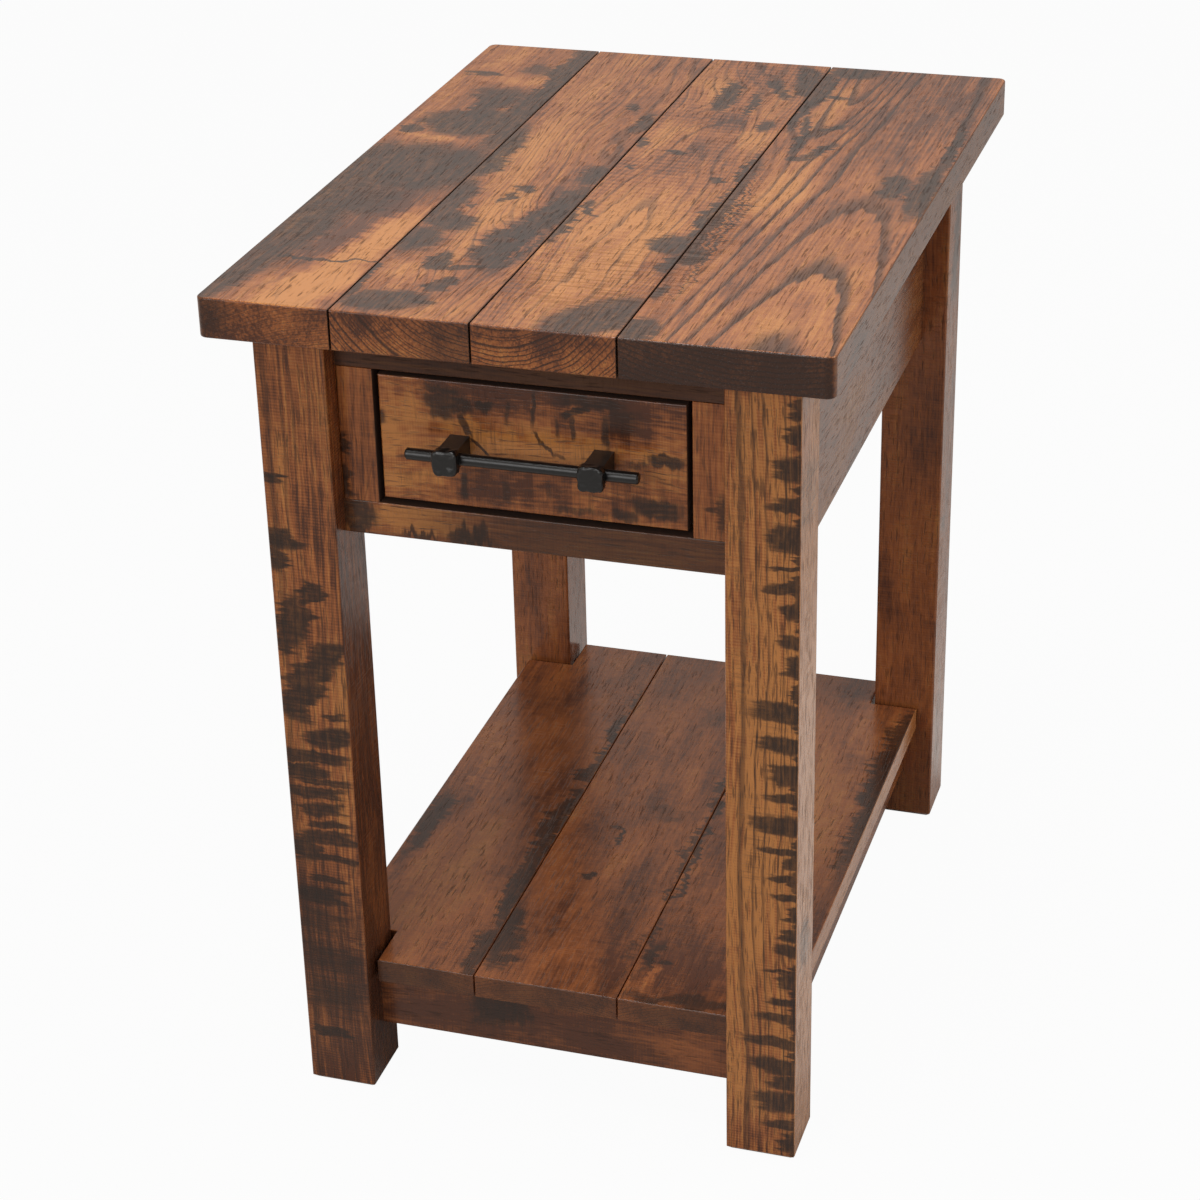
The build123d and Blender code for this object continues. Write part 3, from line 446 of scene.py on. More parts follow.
def board(node_name, grain, pith, species="hickory", patches=None, **special):
    """Sawn, stained and lacquered wood for one board, figured in the solid.

    pith is the heart of the log, across the board and square to that, from its centre.
    patches holds rows of (across, up, wide, tall, turn, amount) for each kind and face, in
    the table's millimetres and degrees. What differs from a plain board is given by name.
    """
    look = {**PLAIN_BOARD, **special}
    low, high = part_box(node_name)
    material = bpy.data.materials.new(f"{species}_{node_name}")
    material.use_nodes = True
    tree = material.node_tree
    tree.nodes.clear()
    coordinates = add(tree, "TexCoord")
    position, normal = coordinates.outputs["Object"], coordinates.outputs["Normal"]
    local = add(tree, "Mapping", {"vector_type": "TEXTURE"},
                {"Vector": position, "Location": (low + high) / 2, "Rotation": GRAIN_TURN[grain],
                 "Scale": (MM, MM, MM)})
    bent = bend_round_log(tree, local, look["wobble"], look["seed"])
    along = add(tree, "SeparateXYZ", {}, {0: bent}).outputs[1]
    layers = wood_layers(tree, bent, look["seed"])
    outline = tear_outline(tree, position, layers, grain, look)
    fields = lay_patches(tree, position, outline, normal, (low, high), patches or {}, look["blocky"])

    facing = add(tree, "VectorMath", {"operation": "DOT_PRODUCT"}, {0: normal, 1: GRAIN_AXIS[grain]})
    end = add(tree, "Math", {"operation": "ABSOLUTE"}, {0: facing.outputs["Value"]})
    count = count_rings(tree, bent, position, high, layers["wriggle"], pith, look)
    end_count = count_end_rings(tree, local, layers["cloud"], look)
    count = add(tree, "Mix", {}, {0: end, 2: count, 3: end_count})
    line = draw_rings(tree, count, end, look)
    if "quiet" in fields:
        loud = add(tree, "Math", {"operation": "SUBTRACT"}, {0: 1.0, 1: fields["quiet"]})
        line = add(tree, "Math", {"operation": "MULTIPLY"}, {0: line, 1: loud})

    # Pores crowd at the start of each ring. Scratches of the saw lie in patches.
    crowd = add(tree, "MapRange", {}, {"Value": line, "To Min": look["pores_from"], "To Max": 0.50})
    pores = add(tree, "Math", {"operation": "SUBTRACT"}, {0: layers["pore"], 1: crowd})
    pores = add(tree, "Math", {"operation": "MULTIPLY", "use_clamp": True}, {0: pores, 1: 9.0})
    stroke = add(tree, "Math", {"operation": "MULTIPLY_ADD"},
                 {0: along, 1: 2 * math.pi / look["saw_pitch"], 2: layers["wriggle"]})
    wave = add(tree, "Math", {"operation": "SINE"}, {0: stroke})
    stroke = add(tree, "Math", {"operation": "MULTIPLY_ADD"}, {0: wave, 1: 0.07, 2: layers["scratch"]})
    scratch = add(tree, "MapRange", {}, {"Value": stroke, "From Min": 0.48, "From Max": 0.64})
    rough = add(tree, "MapRange", {},
                {"Value": layers["figure"], "From Min": 0.48, "From Max": 0.62, "To Max": look["saw"]})
    if "sawn" in fields:
        rough = add(tree, "Math", {"operation": "MAXIMUM"}, {0: rough, 1: fields["sawn"]})
    sawn = add(tree, "Math", {"operation": "MULTIPLY"}, {0: scratch, 1: rough})

    gold, plain, deep, line_colour = SPECIES[species]
    tone = grade_tone(tree, layers, fields, wave, along, look)
    wood = add(tree, "ValToRGB", {}, {"Fac": tone})
    wood.color_ramp.elements[0].color = linear(deep)
    wood.color_ramp.elements[1].color = linear(gold)
    wood.color_ramp.elements.new(0.5).color = linear(plain)
    colour = wood.outputs["Color"]
    inked = [("ring", line, line_colour), ("pore", pores, line_colour), ("scratch", sawn, line_colour)]
    if "smoke_and_shade" in fields:
        inked.append(("smoke_and_shade", fields["smoke_and_shade"], STAIN))
    if "dark" in fields:
        inked.append(("dark", soak(tree, fields, layers, look), STAIN))
    inked += [("kerf", glaze_kerf(tree, local, side, (high - low).x), STAIN) for side in look["joints"]]
    for ink, where, tint in inked:
        amount = add(tree, "Math", {"operation": "MULTIPLY"}, {0: where, 1: INKS[ink]})
        colour = add(tree, "Mix", {"data_type": "RGBA"}, {0: amount, MIX_A: colour, MIX_B: linear(tint)})

    relief = add(tree, "Math", {"operation": "ADD"}, {0: pores, 1: sawn})
    bump = add(tree, "Bump", {"invert": True},
               {"Strength": 0.4, "Distance": RELIEF * MM, "Height": relief})
    sheen = add(tree, "MapRange", {}, {"Value": relief, "To Min": SHEEN[0], "To Max": SHEEN[1]})
    # Where the painted shade is past full strength, the lacquer's gloss is dulled as well.
    if "smoke_and_shade" in fields:
        bare = add(tree, "MapRange", {},
                   {"Value": fields["smoke_and_shade"], "From Min": DULLED_IN_SHADE[0], "From Max": DULLED_IN_SHADE[1],
                    "To Max": DULLED_IN_SHADE[2]})
        sheen = add(tree, "Math", {"operation": "ADD"}, {0: sheen, 1: bare})
    surface = add(tree, "BsdfPrincipled", {},
                  {"Base Color": colour, "Roughness": sheen, "Normal": bump, "IOR": LACQUER_IOR})
    add(tree, "OutputMaterial", {}, {"Surface": surface})
    nodes[node_name].data.materials.clear()
    nodes[node_name].data.materials.append(material)


board("top_board_1", "Y", pith=(-5, -60), ring_width=2.8, taper=(0.03, 0.03), rings=(0.0, 0.3),
      end_pith=(50, -150), end_ring_width=1.9, wander=26.0, seed=1.0, joints=(1,),
      patches={
          ("smoke_and_shade", "front"): [(-204, 600, 20, 24, 0, 0.8)],
          ("brown", "front"): [(-160, 596, 90, 30, 0, 0.35)],
          ("gold", "top"): [
              (-142, -258, 20, 44, -12, 1.8), (-130, -155, 14, 60, -8, 1.3), (-198, 160, 8, 90, 0, 0.2),
              (-156, 192, 26, 10, 0, 0.6), (-172, 250, 12, 40, 0, 0.5), (-168, 50, 30, 5, -16, 0.8)],
          ("brown", "top"): [
              (-142, -85, 40, 34, 0, 0.9), (-162, -160, 20, 60, -10, 0.8), (-165, 150, 50, 40, 0, 0.4),
              (-140, 30, 22, 22, 0, 0.6)],
          ("dark", "top"): [
              (-168, -15, 76, 50, 0, 1.1), (-204, -125, 38, 130, 0, 1.05), (-170, -85, 30, 40, -20, 0.75),
              (-190, -160, 26, 40, 0, 0.8), (-206, -245, 24, 60, -12, 1.1), (-150, 92, 38, 34, 0, 1.1),
              (-154, 145, 24, 32, 0, 0.85), (-121, 180, 13, 150, 0, 1.2), (-184, 203, 12, 8, -10, 0.85),
              (-143, 222, 18, 14, 10, 0.65), (-165, -199, 52, 2, 0, 1.2), (-190, 67, 7, 8, -30, 1.1)],
          ("clear", "top"): [(-168, 130, 5, 14, 10, 1.2)],
      })
board("top_board_2", "Y", pith=(50, 45), ring_width=3.4, taper=(-0.03, -0.03), rings=(0.2, 0.7),
      wobble=8.0, end_pith=(56, 75), end_ring_width=3.0, end_rings=1.0, wander=22.0, seed=2.0,
      joints=(-1, 1), swells=[((-45, -160), (40, 80), 4.0), ((-72, -250), (40, 60), 4.0)],
      patches={
          ("smoke_and_shade", "front"): [(-34, 590, 22, 20, 0, 0.6)],
          ("brown", "front"): [(-70, 604, 70, 10, 0, 0.6)],
          ("gold", "top"): [
              (-88, 100, 18, 140, 0, 0.8), (-66, -90, 14, 50, 0, 1.0), (-72, -150, 10, 40, 0, 0.9),
              (-92, -205, 14, 14, 0, 0.7), (-80, 230, 30, 60, 0, 0.3), (-45, -265, 20, 20, 0, 0.3)],
          ("brown", "top"): [(-45, -120, 24, 100, -6, 0.6), (-40, 140, 16, 60, 0, 0.4)],
          ("dark", "top"): [
              (-114, 30, 14, 60, 0, 1.0), (-108, 2, 13, 24, 0, 1.0), (-110, -70, 15, 44, 0, 1.0),
              (-97, -112, 22, 16, -35, 1.05), (-104, -150, 16, 26, 0, 1.0), (-115, -220, 6, 50, 0, 0.9),
              (-34, -80, 14, 56, -8, 1.05), (-44, -145, 20, 48, 0, 1.05), (-52, -190, 24, 4, 14, 1.1),
              (-78, -186, 11, 16, 0, 1.1), (-86, -258, 28, 18, 12, 1.1), (-61, -224, 8, 14, 0, 1.1),
              (-67, -38, 7, 9, 0, 1.0), (-73, -61, 5, 11, 0, 0.9), (-90, -80, 3.5, 4, 0, 1.0),
              (-30, -5, 10, 24, 0, 0.9), (-28, 115, 7, 26, 0, 0.9), (-46, 152, 6, 14, 10, 0.8)],
          ("clear", "top"): [
              (-34, -150, 3, 24, -6, 0.9), (-58, -116, 8, 4, 20, 0.8), (-46, -134, 5, 5, 0, 0.6)],
      })
board("top_board_3", "Y", pith=(0, 38), ring_width=3.6, taper=(0.03, 0.03), rings=(0.2, 0.7),
      wobble=8.0, end_pith=(-30, 62), end_ring_width=3.2, end_rings=1.0, saw_pitch=7.0, ripple=0.1,
      wander=14.0, seed=3.0, joints=(-1, 1), swells=[((15, 190), (30, 80), 3.0)],
      patches={
          ("brown", "front"): [(20, 606, 90, 8, 0, 0.6)],
          ("gold", "top"): [
              (20, -140, 36, 110, 0, 1.1), (-8, 80, 10, 60, 0, 0.7), (58, 100, 14, 50, 0, 0.6),
              (0, 220, 10, 50, 0, 0.5)],
          ("brown", "top"): [
              (25, 250, 50, 30, 0, 0.4), (20, 132, 44, 20, 0, 0.6), (20, 40, 60, 50, 0, 0.25)],
          ("sawn", "top"): [(25, -190, 60, 60, 0, 0.7)],
          ("dark", "top"): [
              (14, 192, 7, 35, 6, 1.3), (37, 178, 3.5, 30, 5, 1.0), (47, 218, 6, 28, 25, 1.0),
              (63, 238, 10, 44, 14, 1.1), (55, 130, 6, 14, 0, 0.9), (-18, 74, 4, 14, 0, 0.9),
              (11, 58, 7, 5, 0, 1.0), (-9, 20, 3, 4.5, 0, 1.3), (53, 8, 4.5, 7, 0, 1.1),
              (69, 20, 4, 60, 0, 0.9), (-12, -66, 4, 18, 18, 1.0), (-22, -100, 6, 36, 0, 1.0),
              (68, -70, 6, 44, 0, 1.1), (59, -122, 15, 18, 0, 1.1), (67, -155, 7, 20, 0, 1.0),
              (50, -256, 24, 42, -32, 1.05)],
      })
board("top_board_4", "Y", pith=(27, -60), ring_width=10.0, taper=(0.077, 0.012), rings=(0.85, 1.0),
      wobble=1.0, uneven=0.0, end_pith=(20, 260), end_ring_width=3.4, end_rings=1.0, teeth=0.3,
      wander=16.0, seed=4.0, joints=(-1,),
      swells=[((106, 310), (30, 230), 3.5), ((60, 300), (50, 260), -5.0)],
      patches={
          ("smoke_and_shade", "front"): [(137, 596, 160, 60, 0, 0.85)],
          ("brown", "front"): [(137, 596, 160, 60, 0, 1.0)],
          ("smoke_and_shade", "right"): [(0, 596, 400, 60, 0, 0.65)],
          ("quiet", "right"): [(0, 596, 800, 90, 0, 0.9)],
          ("gold", "top"): [
              (165, -220, 22, 80, 0, 0.5), (92, 175, 14, 60, 0, 0.8), (105, 0, 20, 60, 0, 0.7)],
          ("brown", "top"): [(150, 200, 70, 130, 0, 0.65)],
          ("quiet", "top"): [(74, -110, 20, 200, 0, 1.0)],
          ("sawn", "top"): [(80, -110, 16, 120, 0, 1.0)],
          ("dark", "top"): [
              (71, -60, 7, 130, 0, 0.8), (77, -60, 1.3, 100, 0, 0.9), (82, -80, 1.3, 110, 0, 0.9),
              (87, -110, 1.3, 120, 0, 0.8), (84, -37, 9, 2, 0, 0.9), (83, -55, 9, 2, 0, 0.9),
              (83, -76, 9, 2, 0, 0.9), (78, -140, 9, 18, 0, 1.0), (77, -205, 6, 14, 0, 0.9),
              (80, -266, 12, 20, 0, 1.1), (92, 270, 20, 16, 0, 1.1), (76, 225, 10, 44, 0, 1.1),
              (90, 206, 12, 5, 0, 0.9), (74, 160, 6, 40, 0, 0.9), (88, 118, 5, 44, 4, 1.1),
              (96, 64, 9, 6, 0, 0.9), (109, 84, 4.5, 22, -22, 1.0), (108, 136, 4, 12, -40, 0.9),
              (174, 22, 11, 26, 0, 1.0), (196, 15, 11, 60, 0, 0.9), (199, 110, 4, 60, 4, 0.8)],
      })


# ---- Legs -------------------------------------------------------------------------------
# Square posts sawn from thick hickory, with their long edges eased and their feet
# chamfered. Every rail is tenoned into them. The saw's teeth hold the stain in dark combs.
LEG_LOG = {"pith": (-90, 60), "taper": (0.004, 0.004), "uneven": 4.0, "saw": 0.6, "blocky": True}
board("leg_front_left", "Z", **LEG_LOG, ring_width=6.0, rings=(0.2, 0.8), ripple=0.11, wander=13.0,
      teeth=0.7, ragged=0.6, fibre=1.7, pores_from=0.54, seed=5.0,
      patches={
          ("brown", "front"): [
              (-155, 10, 60, 50, 0, 0.7), (-160, 110, 40, 90, 0, 0.7), (-165, 220, 20, 60, 0, 0.5)],
          ("gold", "front"): [
              (-136, 190, 7, 60, 0, 0.6), (-136, 122, 3, 6, 0, 0.8), (-150, 270, 30, 90, 0, 0.5)],
          ("smoke_and_shade", "front"): [(-158, 95, 46, 68, 0, 0.3)],
          ("dark", "front"): [
              (-178, 480, 9, 4, 0, 1.1), (-172, 436, 13, 7, 0, 1.2), (-177, 420, 9, 10, 0, 1.1),
              (-155, 397, 9, 8, -30, 1.1), (-167, 375, 12, 17, -30, 1.2), (-177, 359, 7, 9, 0, 1.0),
              (-144, 353, 14, 8, 0, 1.2), (-155, 337, 13, 14, -35, 1.2), (-168, 316, 12, 17, -20, 1.2),
              (-139, 306, 9, 3, 0, 1.0), (-146, 289, 16, 8, 4, 1.2), (-157, 272, 24, 5, 0, 1.2),
              (-166, 260, 16, 6, 0, 1.15), (-152, 252, 20, 2.5, 0, 1.1), (-160, 243, 22, 5, 0, 1.1),
              (-155, 230, 16, 5, 0, 1.05), (-152, 219, 13, 3, 0, 1.0), (-154, 208, 21, 6, 0, 1.15),
              (-168, 196, 12, 9, 0, 1.15), (-150, 191, 18, 3, 0, 1.1), (-154, 174, 14, 3, 0, 0.95),
              (-160, 160, 20, 7, 0, 1.05), (-165, 138, 18, 12, 0, 0.6), (-155, 108, 24, 14, 0, 0.6),
              (-158, 78, 26, 16, 0, 0.6), (-159, 44, 13, 4, 0, 1.2)],
          ("sawn", "front"): [(-155, 95, 40, 70, 0, 1.0)],
          # The inner face is darker and browner: partly the wood's own tone, partly painted shade under the
          # table.
          ("smoke_and_shade", "right"): [(-234, 60, 60, 60, 0, 0.5)],
          ("brown", "right"): [(-234, 200, 60, 260, 0, 0.7)],
          ("quiet", "right"): [(-234, 300, 90, 600, 0, 1.0)],
      })
COMBS = (
    # level, reach from the edge and half height
    (562, 9, 6), (545, 9, 8), (523, 17, 9), (499, 18, 5), (476, 20, 9), (456, 22, 1.5), (443, 21, 4),
    (425, 12, 5), (404, 13, 5), (388, 9, 8), (353, 30, 8), (329, 26, 6), (308, 17, 8), (290, 21, 4),
    (269, 28, 7), (250, 26, 2.5), (241, 8, 5), (229, 18, 3), (214, 15, 3), (201, 8, 5), (186, 9, 5),
    (174, 14, 5), (155, 20, 1.5), (148, 11, 6), (132, 16, 3), (118, 28, 4), (97, 36, 4), (78, 28, 6),
    (66, 18, 6), (49, 26, 9), (30, 20, 4), (15, 12, 8),
)
board("leg_front_right", "Z", **LEG_LOG, ring_width=6.5, rings=(0.3, 1.0), line_share=0.18,
      ripple=0.11, wander=10.0, teeth=0.5, ragged=0.8, shade=-0.45, fibre=2.1, pores_from=0.53, seed=6.0,
      patches={
          ("dark", "front"): [(180, level, reach + 1, tall, 0, 1.15) for level, reach, tall in COMBS]
          + [(181, 290, 5, 400, 0, 0.9)],
          ("brown", "front"): [
              (130, 430, 12, 200, 0, 0.6), (154, 10, 40, 30, 0, 0.7), (165, 60, 20, 60, 0, 0.4)],
          ("gold", "front"): [(150, 270, 24, 90, 0, 0.5)],
          ("gold", "right"): [(-234, 330, 60, 200, 0, 0.35)],
          ("quiet", "right"): [(-234, 300, 90, 600, 0, 0.85)],
          ("dark", "right"): [(-240, 500, 26, 34, 0, 0.5), (-236, 165, 16, 26, 20, 0.6)],
      })
BACK_LEG_PATCHES = {
    ("dark", "right"): [(238, 490, 10, 50, 0, 0.7), (222, 262, 14, 8, -20, 0.6)],
    ("quiet", "right"): [(234, 300, 90, 600, 0, 0.8)],
    ("smoke_and_shade", "right"): [(234, 300, 60, 400, 0, 0.2)],
}
for seed, leg_name in enumerate(("leg_back_left", "leg_back_right"), start=7):
    board(leg_name, "Z", **LEG_LOG, ring_width=2.6, rings=(0.0, 0.25), teeth=0.6, fibre=0.7, shade=0.1,
          seed=float(seed), patches=BACK_LEG_PATCHES)


# ---- Frame ------------------------------------------------------------------------------
# Aprons at the sides and the back, and two rails and two stiles round the drawer, of the
# same stained hickory. Each ends in a tenon that is glued into a leg or a rail.
FRAME_GRAIN = {
    "apron_left": "Y", "apron_right": "Y", "apron_back": "X",
    "front_top_rail": "X", "front_bottom_rail": "X", "front_stile_left": "Z", "front_stile_right": "Z",
}
FRAME_PATCHES = {
    "apron_right": {
        ("smoke_and_shade", "right"): [(0, 502, 600, 200, 0, 0.5)],
        ("quiet", "right"): [(0, 502, 600, 200, 0, 0.9)],
    },
    "front_top_rail": {
        # Darkened nearly to the stain: partly its own stain, partly painted shade under the top's overhang.
        ("smoke_and_shade", "front"): [(0, 568, 240, 60, 0, 1.05)],
    },
    "front_bottom_rail": {
        # Painted shade on its top face, in the gap under the drawer.
        ("smoke_and_shade", "top"): [(0, -230, 200, 40, 0, 1.2)],
        ("gold", "front"): [(-76, 454, 40, 10, 0, 1.1)],
        ("smoke_and_shade", "front"): [(60, 450, 125, 60, 0, 0.9)],
        ("dark", "front"): [
            (-45, 444, 16, 9, 0, 0.9), (-80, 441, 14, 5, 0, 0.8), (-122, 452, 14, 16, 0, 0.9)],
    },
    "front_stile_left": {
        # Painted shade on its inner face, in the gap beside the drawer.
        ("smoke_and_shade", "right"): [(-232, 508, 60, 90, 0, 1.2)],
        ("dark", "front"): [(-130, 500, 6, 8, 0, 0.9), (-130, 474, 9, 12, 0, 1.0)],
    },
    "front_stile_right": {
        ("dark", "front"): [(126, 480, 9, 14, 0, 0.7)],
        ("gold", "front"): [(114, 510, 12, 60, 0, 0.3)],
    },
}
for seed, (piece_name, grain) in enumerate(FRAME_GRAIN.items(), start=11):
    board(piece_name, grain, pith=(30, -70), rings=(0.05, 0.4), ripple=0.05, wander=16.0, teeth=0.6,
          patches=FRAME_PATCHES.get(piece_name), seed=float(seed))


# ---- Shelf ------------------------------------------------------------------------------
# Three hickory boards, notched round the legs, on four rails tenoned between the legs and
# screwed up from below. They took the stain darker and redder than the top.
SHELF_GRAIN = {
    "shelf_board_1": "Y", "shelf_board_2": "Y", "shelf_board_3": "Y",
    "shelf_rail_left": "Y", "shelf_rail_right": "Y", "shelf_rail_front": "X", "shelf_rail_back": "X",
}
SHELF_PATCHES = {
    "shelf_board_1": {
        ("smoke_and_shade", "front"): [(-110, 94, 60, 20, 0, 0.9)],
        ("gold", "top"): [(-140, 20, 5, 36, 0, 0.5), (-110, -130, 36, 70, 0, 0.5)],
        ("brown", "top"): [(-90, -40, 24, 160, 0, 0.15)],
        ("dark", "top"): [
            (-57, -20, 8, 190, 0, 1.1), (-62, -30, 12, 30, 0, 1.0), (-60, -140, 9, 44, 0, 1.0),
            (-56, 150, 10, 14, 0, 0.8), (-158, -60, 9, 50, 0, 0.8), (-58, -215, 10, 50, 0, 0.8)],
    },
    "shelf_board_2": {
        ("smoke_and_shade", "front"): [(-5, 94, 60, 20, 0, 0.75)],
        ("brown", "top"): [(0, -200, 60, 60, 0, 0.3)],
        ("dark", "top"): [
            (-50, -190, 12, 44, 12, 0.9), (-36, -220, 10, 5, 0, 0.8), (-15, -104, 8, 5, 0, 0.9),
            (-18, -175, 4, 16, 0, 0.5), (-13, -45, 4, 20, 15, 0.8), (15, 0, 14, 14, 0, 0.5),
            (12, 150, 14, 20, 0, 0.5), (47, 0, 4, 240, 0, 0.7)],
    },
    "shelf_board_3": {
        ("smoke_and_shade", "front"): [(105, 94, 60, 20, 0, 0.75)],
        ("gold", "top"): [(66, -215, 5, 16, 0, 0.9), (120, 60, 20, 110, 0, 0.5)],
        ("dark", "top"): [
            (51, 0, 4, 240, 0, 0.8), (56, -190, 6, 20, 0, 0.8), (68, -192, 5, 5, 0, 1.0),
            (110, -238, 60, 8, 0, 0.7), (163, 80, 14, 140, 0, 0.9)],
        ("brown", "top"): [(80, -190, 30, 60, 0, 0.7)],
        ("gold", "right"): [(0, 94, 500, 30, 0, 0.9)],
        ("quiet", "right"): [(0, 94, 800, 60, 0, 0.9)],
    },
    "shelf_rail_front": {
        ("brown", "front"): [(0, 64, 170, 40, 0, 0.8)],
        ("dark", "front"): [(-42, 68, 26, 16, 0, 0.8)],
        ("gold", "front"): [(105, 60, 24, 20, 0, 0.5)],
    },
}
for seed, (piece_name, grain) in enumerate(SHELF_GRAIN.items(), start=21):
    board(piece_name, grain, pith=(30, -70), shade=0.12, rings=(0.0, 0.2), teeth=0.4, fibre=0.6,
          patches=SHELF_PATCHES.get(piece_name), seed=float(seed))


# ---- Drawer front -----------------------------------------------------------------------
# One inset hickory panel with curly, clouded figure and steps where the saw changed pace.
# Painted shade darkens its edges, so that the gap round it stays dark.
board("drawer_front", "X", pith=(30, -70), rings=(0.0, 0.3), saw=0.8, saw_pitch=1.8, ripple=0.06,
      wander=10.0, teeth=0.12, ragged=0.8, bands=0.4, blocky=True, wobble=9.0, curl=1.1, seed=31.0,
      swells=[((-20, 515), (60, 22), 3.0), ((25, 530), (30, 14), -2.5), ((-95, 490), (40, 40), 3.0)],
      patches={
          # Painted shade on its right and top edges, in the gap round it.
          ("smoke_and_shade", "right"): [(-230, 508, 60, 90, 0, 1.2)],
          ("smoke_and_shade", "top"): [(0, -230, 200, 40, 0, 1.2)],
          ("gold", "front"): [
              (-88, 522, 18, 34, 0, 0.7), (-15, 513, 42, 12, 0, 1.3), (22, 510, 30, 10, 0, 1.2),
              (66, 517, 16, 6, 0, 0.7), (-78, 478, 24, 14, 0, 0.6), (92, 530, 10, 12, 0, 0.5)],
          # The brown band along the top edge is partly the wood's tone, partly painted shade under the top's
          # overhang.
          ("brown", "front"): [
              (0, 549, 110, 8, 0, 0.9), (-5, 540, 26, 8, 0, 0.5), (60, 537, 36, 16, 0, 0.8),
              (10, 476, 70, 12, 0, 0.6), (-25, 520, 7, 8, 20, 0.7), (-8, 518, 4, 8, 20, 0.7)],
          ("dark", "front"): [
              (-58, 545, 14, 3, 0, 0.8), (-54, 536, 17, 6, 0, 1.0), (-60, 530, 9, 5, 0, 0.8),
              (-45, 523, 2.4, 11, 25, 0.85), (-35, 509, 1.2, 9, 52, 1.0), (-31, 537, 6, 4, 0, 0.9),
              (-16, 534, 2, 8, 0, 0.6), (2, 538, 1.6, 13, 0, 0.8), (4, 519, 1.5, 7, 20, 0.75),
              (10, 512, 1.3, 8, 55, 0.8), (19, 508, 1.5, 5, 65, 0.6), (31, 539, 11, 2.2, 25, 1.1),
              (40, 546, 24, 5, 0, 0.75), (60, 535, 14, 11, 0, 0.6), (27.5, 528, 2, 9, 0, 0.8),
              (17.5, 527, 1.4, 8, 0, 0.6), (49.5, 527, 3, 12, 0, 0.8), (88, 511.5, 11, 5, 0, 1.1),
              (70, 508, 8, 3, 0, 0.6), (82, 478, 17, 7, 0, 1.0), (60, 471, 10, 4, 0, 0.8),
              (-46, 480, 2.5, 12, 0, 0.8), (-18, 478, 3, 12, 0, 0.6), (10, 482, 3, 8, 0, 0.5),
              (30, 470, 20, 3, 0, 0.6), (-102, 523, 4, 6, 0, 0.8)],
          ("sawn", "front"): [
              (75, 480, 36, 14, 0, 1.0), (-50, 540, 30, 10, 0, 0.9), (0, 476, 80, 12, 0, 0.8),
              (86, 511, 14, 6, 0, 1.0)],
      })


# ---- Drawer box and runners -----------------------------------------------------------------
# A clear-coated maple box with dovetailed corners and a birch plywood bottom in grooves.
# Poplar rails, left bare, are screwed to the legs and carry the steel slides.
SPECIES["maple"] = ("#E6CBA0", "#DDBD90", "#CFA878", "#B98F62")
SPECIES["birch"] = ("#E8D2AA", "#E0C598", "#D4B584", "#C09A6A")
SPECIES["poplar"] = ("#D9CBA0", "#C9BC8E", "#B2AE80", "#9A9068")
BOX_WOOD = {
    "drawer_box_front": ("X", "maple"), "drawer_box_back": ("X", "maple"),
    "drawer_side_left": ("Y", "maple"), "drawer_side_right": ("Y", "maple"),
    "drawer_bottom": ("X", "birch"), "slide_rail_left": ("Y", "poplar"), "slide_rail_right": ("Y", "poplar"),
}
for seed, (piece_name, (grain, species)) in enumerate(BOX_WOOD.items(), start=41):
    board(piece_name, grain, pith=(20, -90), species=species, end_rings=0.5, saw=0.0, seed=float(seed))


# ---- Metal parts ----------------------------------------------------------------------------
# Ball-bearing slides rolled from sheet steel and painted black, figure-eight fasteners
# that hold the top down, and screws. The fasteners and screws are zinc plated, cool grey.
def metal(material_name, colour, roughness, mark_width, mark_length, plated=1.0, index=1.5):
    """Plated or painted metal with marks that run along Y, sizes in millimetres."""
    material = bpy.data.materials.new(material_name)
    material.use_nodes = True
    tree = material.node_tree
    tree.nodes.clear()
    position = add(tree, "TexCoord").outputs["Object"]
    across, along = 1 / (mark_width * MM), 1 / (mark_length * MM)
    placed = add(tree, "Mapping", {}, {"Vector": position, "Scale": (across, along, across)})
    marks = add(tree, "TexNoise", {}, {"Vector": placed, "Scale": 1.0, "Detail": 3.0})
    dark, light = ([channel * share for channel in linear(colour)[:3]] + [1.0] for share in (0.8, 1.15))
    tint = add(tree, "Mix", {"data_type": "RGBA"}, {0: marks, MIX_A: dark, MIX_B: light})
    rough = add(tree, "MapRange", {},
                {"Value": marks, "To Min": roughness - 0.08, "To Max": roughness + 0.08})
    bump = add(tree, "Bump", {}, {"Strength": 0.3, "Distance": 0.1 * MM, "Height": marks})
    surface = add(tree, "BsdfPrincipled", {},
                  {"Base Color": tint, "Metallic": plated, "Roughness": rough, "IOR": index,
                   "Normal": bump})
    add(tree, "OutputMaterial", {}, {"Surface": surface})
    return material


zinc = metal("zinc_plated_steel", "#A9AEB3", 0.38, 0.6, 14.0)
black_steel = metal("black_painted_steel", "#0B0B0C", 0.8, 0.6, 14.0, plated=0.0, index=1.15)
screw_steel = metal("zinc_plated_screw", "#9A9C9E", 0.32, 1.2, 1.2)
METAL_NODES = {
    "top_fasteners": zinc, "top_fastener_screws": screw_steel, "slide_rail_screws": screw_steel,
    "slide_case_screws": screw_steel, "slide_drawer_screws": screw_steel, "drawer_front_screws": screw_steel,
    "shelf_screws": screw_steel, "pull_screws": screw_steel,
}
for member in ("outer", "middle", "inner"):
    for side_name in ("left", "right"):
        METAL_NODES[f"slide_{member}_{side_name}"] = black_steel
for node_name, material in METAL_NODES.items():
    nodes[node_name].data.materials.clear()
    nodes[node_name].data.materials.append(material)


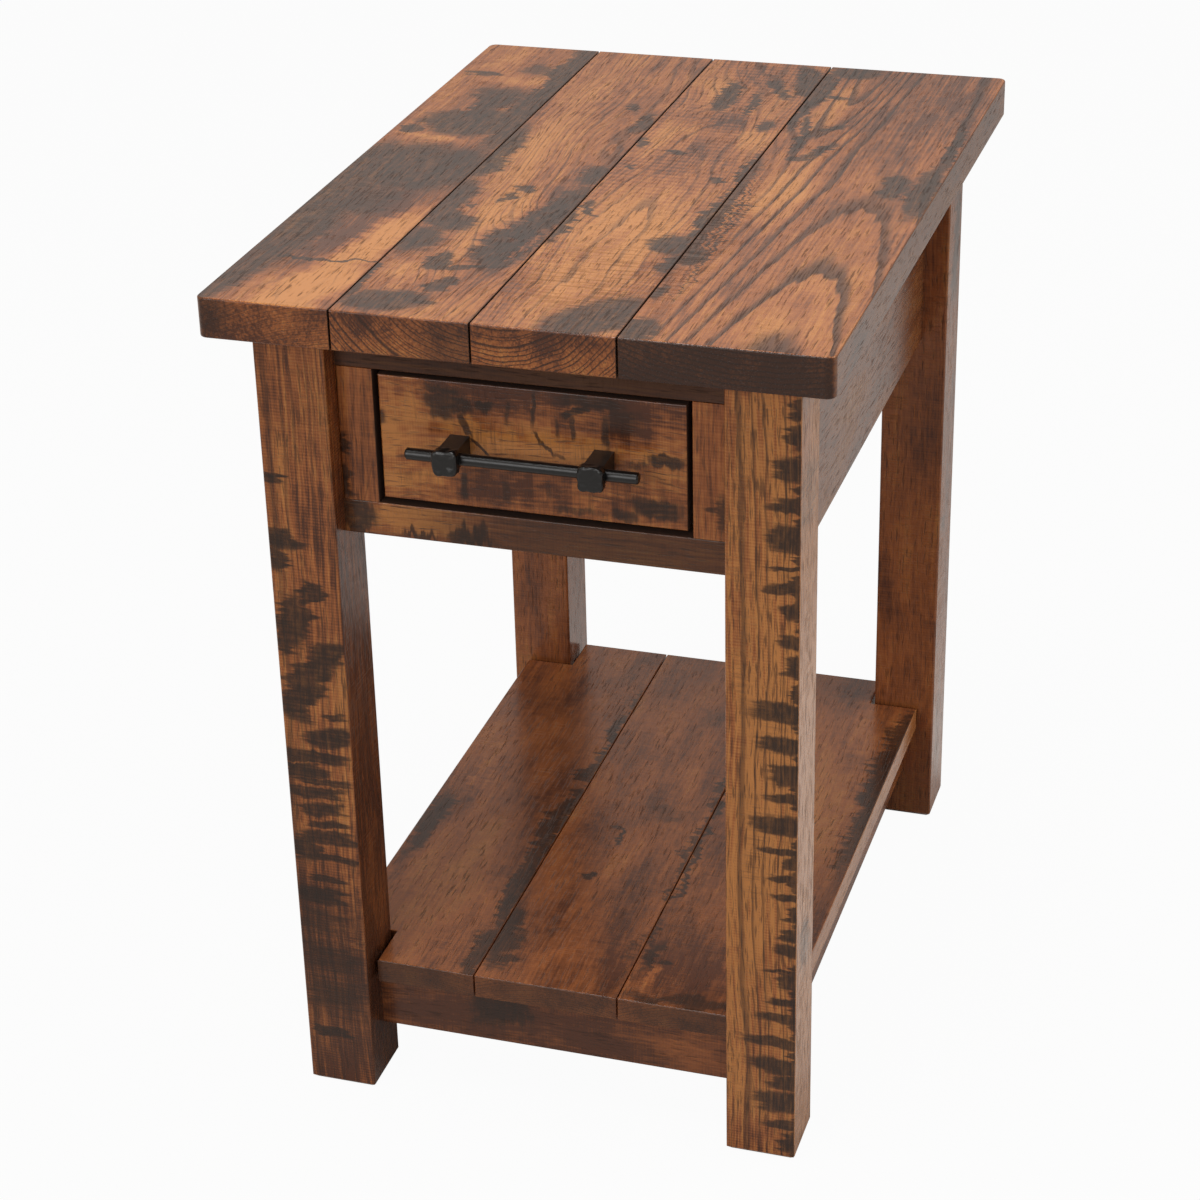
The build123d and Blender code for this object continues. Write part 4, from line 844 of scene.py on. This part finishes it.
# ---- Pull -----------------------------------------------------------------------------------
# A round iron bar through two square posts, whose hammered heads stand in front of it.
# Forged, blackened and waxed, which leaves the iron near black with a low gloss.
HEAD_THICKNESS, HEAD_CORNER = 6.8 * MM, 3.4 * MM
POST_SIZE = 13.0 * MM
black_iron = metal("blackened_iron", "#0F0D0C", 0.32, 1.6, 1.6, plated=0.0)
nodes["pull_bar"].data.materials.clear()
nodes["pull_bar"].data.materials.append(black_iron)


def pick(piece, kind, wanted):
    """Leaves selected, in edit mode, only the piece's faces or edges that are wanted."""
    bpy.ops.object.mode_set(mode="EDIT")
    bpy.ops.mesh.select_mode(type=kind)
    bpy.ops.mesh.select_all(action="DESELECT")
    bpy.ops.object.mode_set(mode="OBJECT")
    for part in (piece.data.polygons if kind == "FACE" else piece.data.edges):
        part.select = wanted(part)
    bpy.ops.object.mode_set(mode="EDIT")


hammer_marks = bpy.data.textures.new("hammer_marks", "CLOUDS")
hammer_marks.noise_scale = 5.5 * MM
hammer_marks.noise_depth = 1
for side_name in ("left", "right"):
    low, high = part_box("pull_post_" + side_name)
    middle = (low + high) / 2
    head_size = high.x - low.x
    back_of_head = low.y + HEAD_THICKNESS
    bpy.ops.object.select_all(action="DESELECT")
    bpy.ops.mesh.primitive_cube_add(
        size=1, location=(middle.x, (back_of_head + high.y) / 2, middle.z),
        scale=(POST_SIZE, high.y - back_of_head, POST_SIZE))
    post = bpy.context.object
    post.name = "hammered_post_" + side_name
    bpy.ops.object.transform_apply(location=True, rotation=False, scale=True)
    pick(post, "FACE", lambda face: face.normal.y < -0.9)
    bpy.ops.mesh.extrude_region_move()
    bpy.ops.transform.resize(value=(head_size / POST_SIZE, 1, head_size / POST_SIZE), center_override=middle)
    bpy.ops.mesh.extrude_region_move(TRANSFORM_OT_translate={"value": (0, -HEAD_THICKNESS, 0)})
    bpy.ops.object.mode_set(mode="OBJECT")
    places = [vertex.co.copy() for vertex in post.data.vertices]
    pick(post, "EDGE", lambda edge: all(places[end].y < back_of_head + 0.1 * MM for end in edge.vertices)
         and abs(places[edge.vertices[0]].y - places[edge.vertices[1]].y) > HEAD_THICKNESS / 2)
    bpy.ops.mesh.bevel(offset=HEAD_CORNER, segments=3, profile=0.5)
    pick(post, "FACE", lambda face: face.normal.y < -0.9)
    bpy.ops.mesh.bevel(offset=1.4 * MM, segments=3)
    bpy.ops.object.mode_set(mode="OBJECT")
    finer = post.modifiers.new("finer", "SUBSURF")
    finer.subdivision_type = "SIMPLE"
    finer.levels = finer.render_levels = 3
    bpy.ops.object.modifier_apply(modifier=finer.name)
    head_group = post.vertex_groups.new(name="head")
    in_head = [vertex.index for vertex in post.data.vertices if vertex.co.y < back_of_head + 0.1 * MM]
    head_group.add(in_head, 1.0, "REPLACE")
    hammering = post.modifiers.new("hammering", "DISPLACE")
    hammering.texture = hammer_marks
    hammering.texture_coords = "LOCAL"
    hammering.strength = 2.2 * MM
    hammering.mid_level = 0.4
    hammering.vertex_group = head_group.name
    bpy.ops.object.modifier_apply(modifier=hammering.name)
    bpy.ops.object.shade_smooth_by_angle(angle=math.radians(40))
    post.data.materials.append(black_iron)
    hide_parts("pull_post_" + side_name)
    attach(post, "drawer")
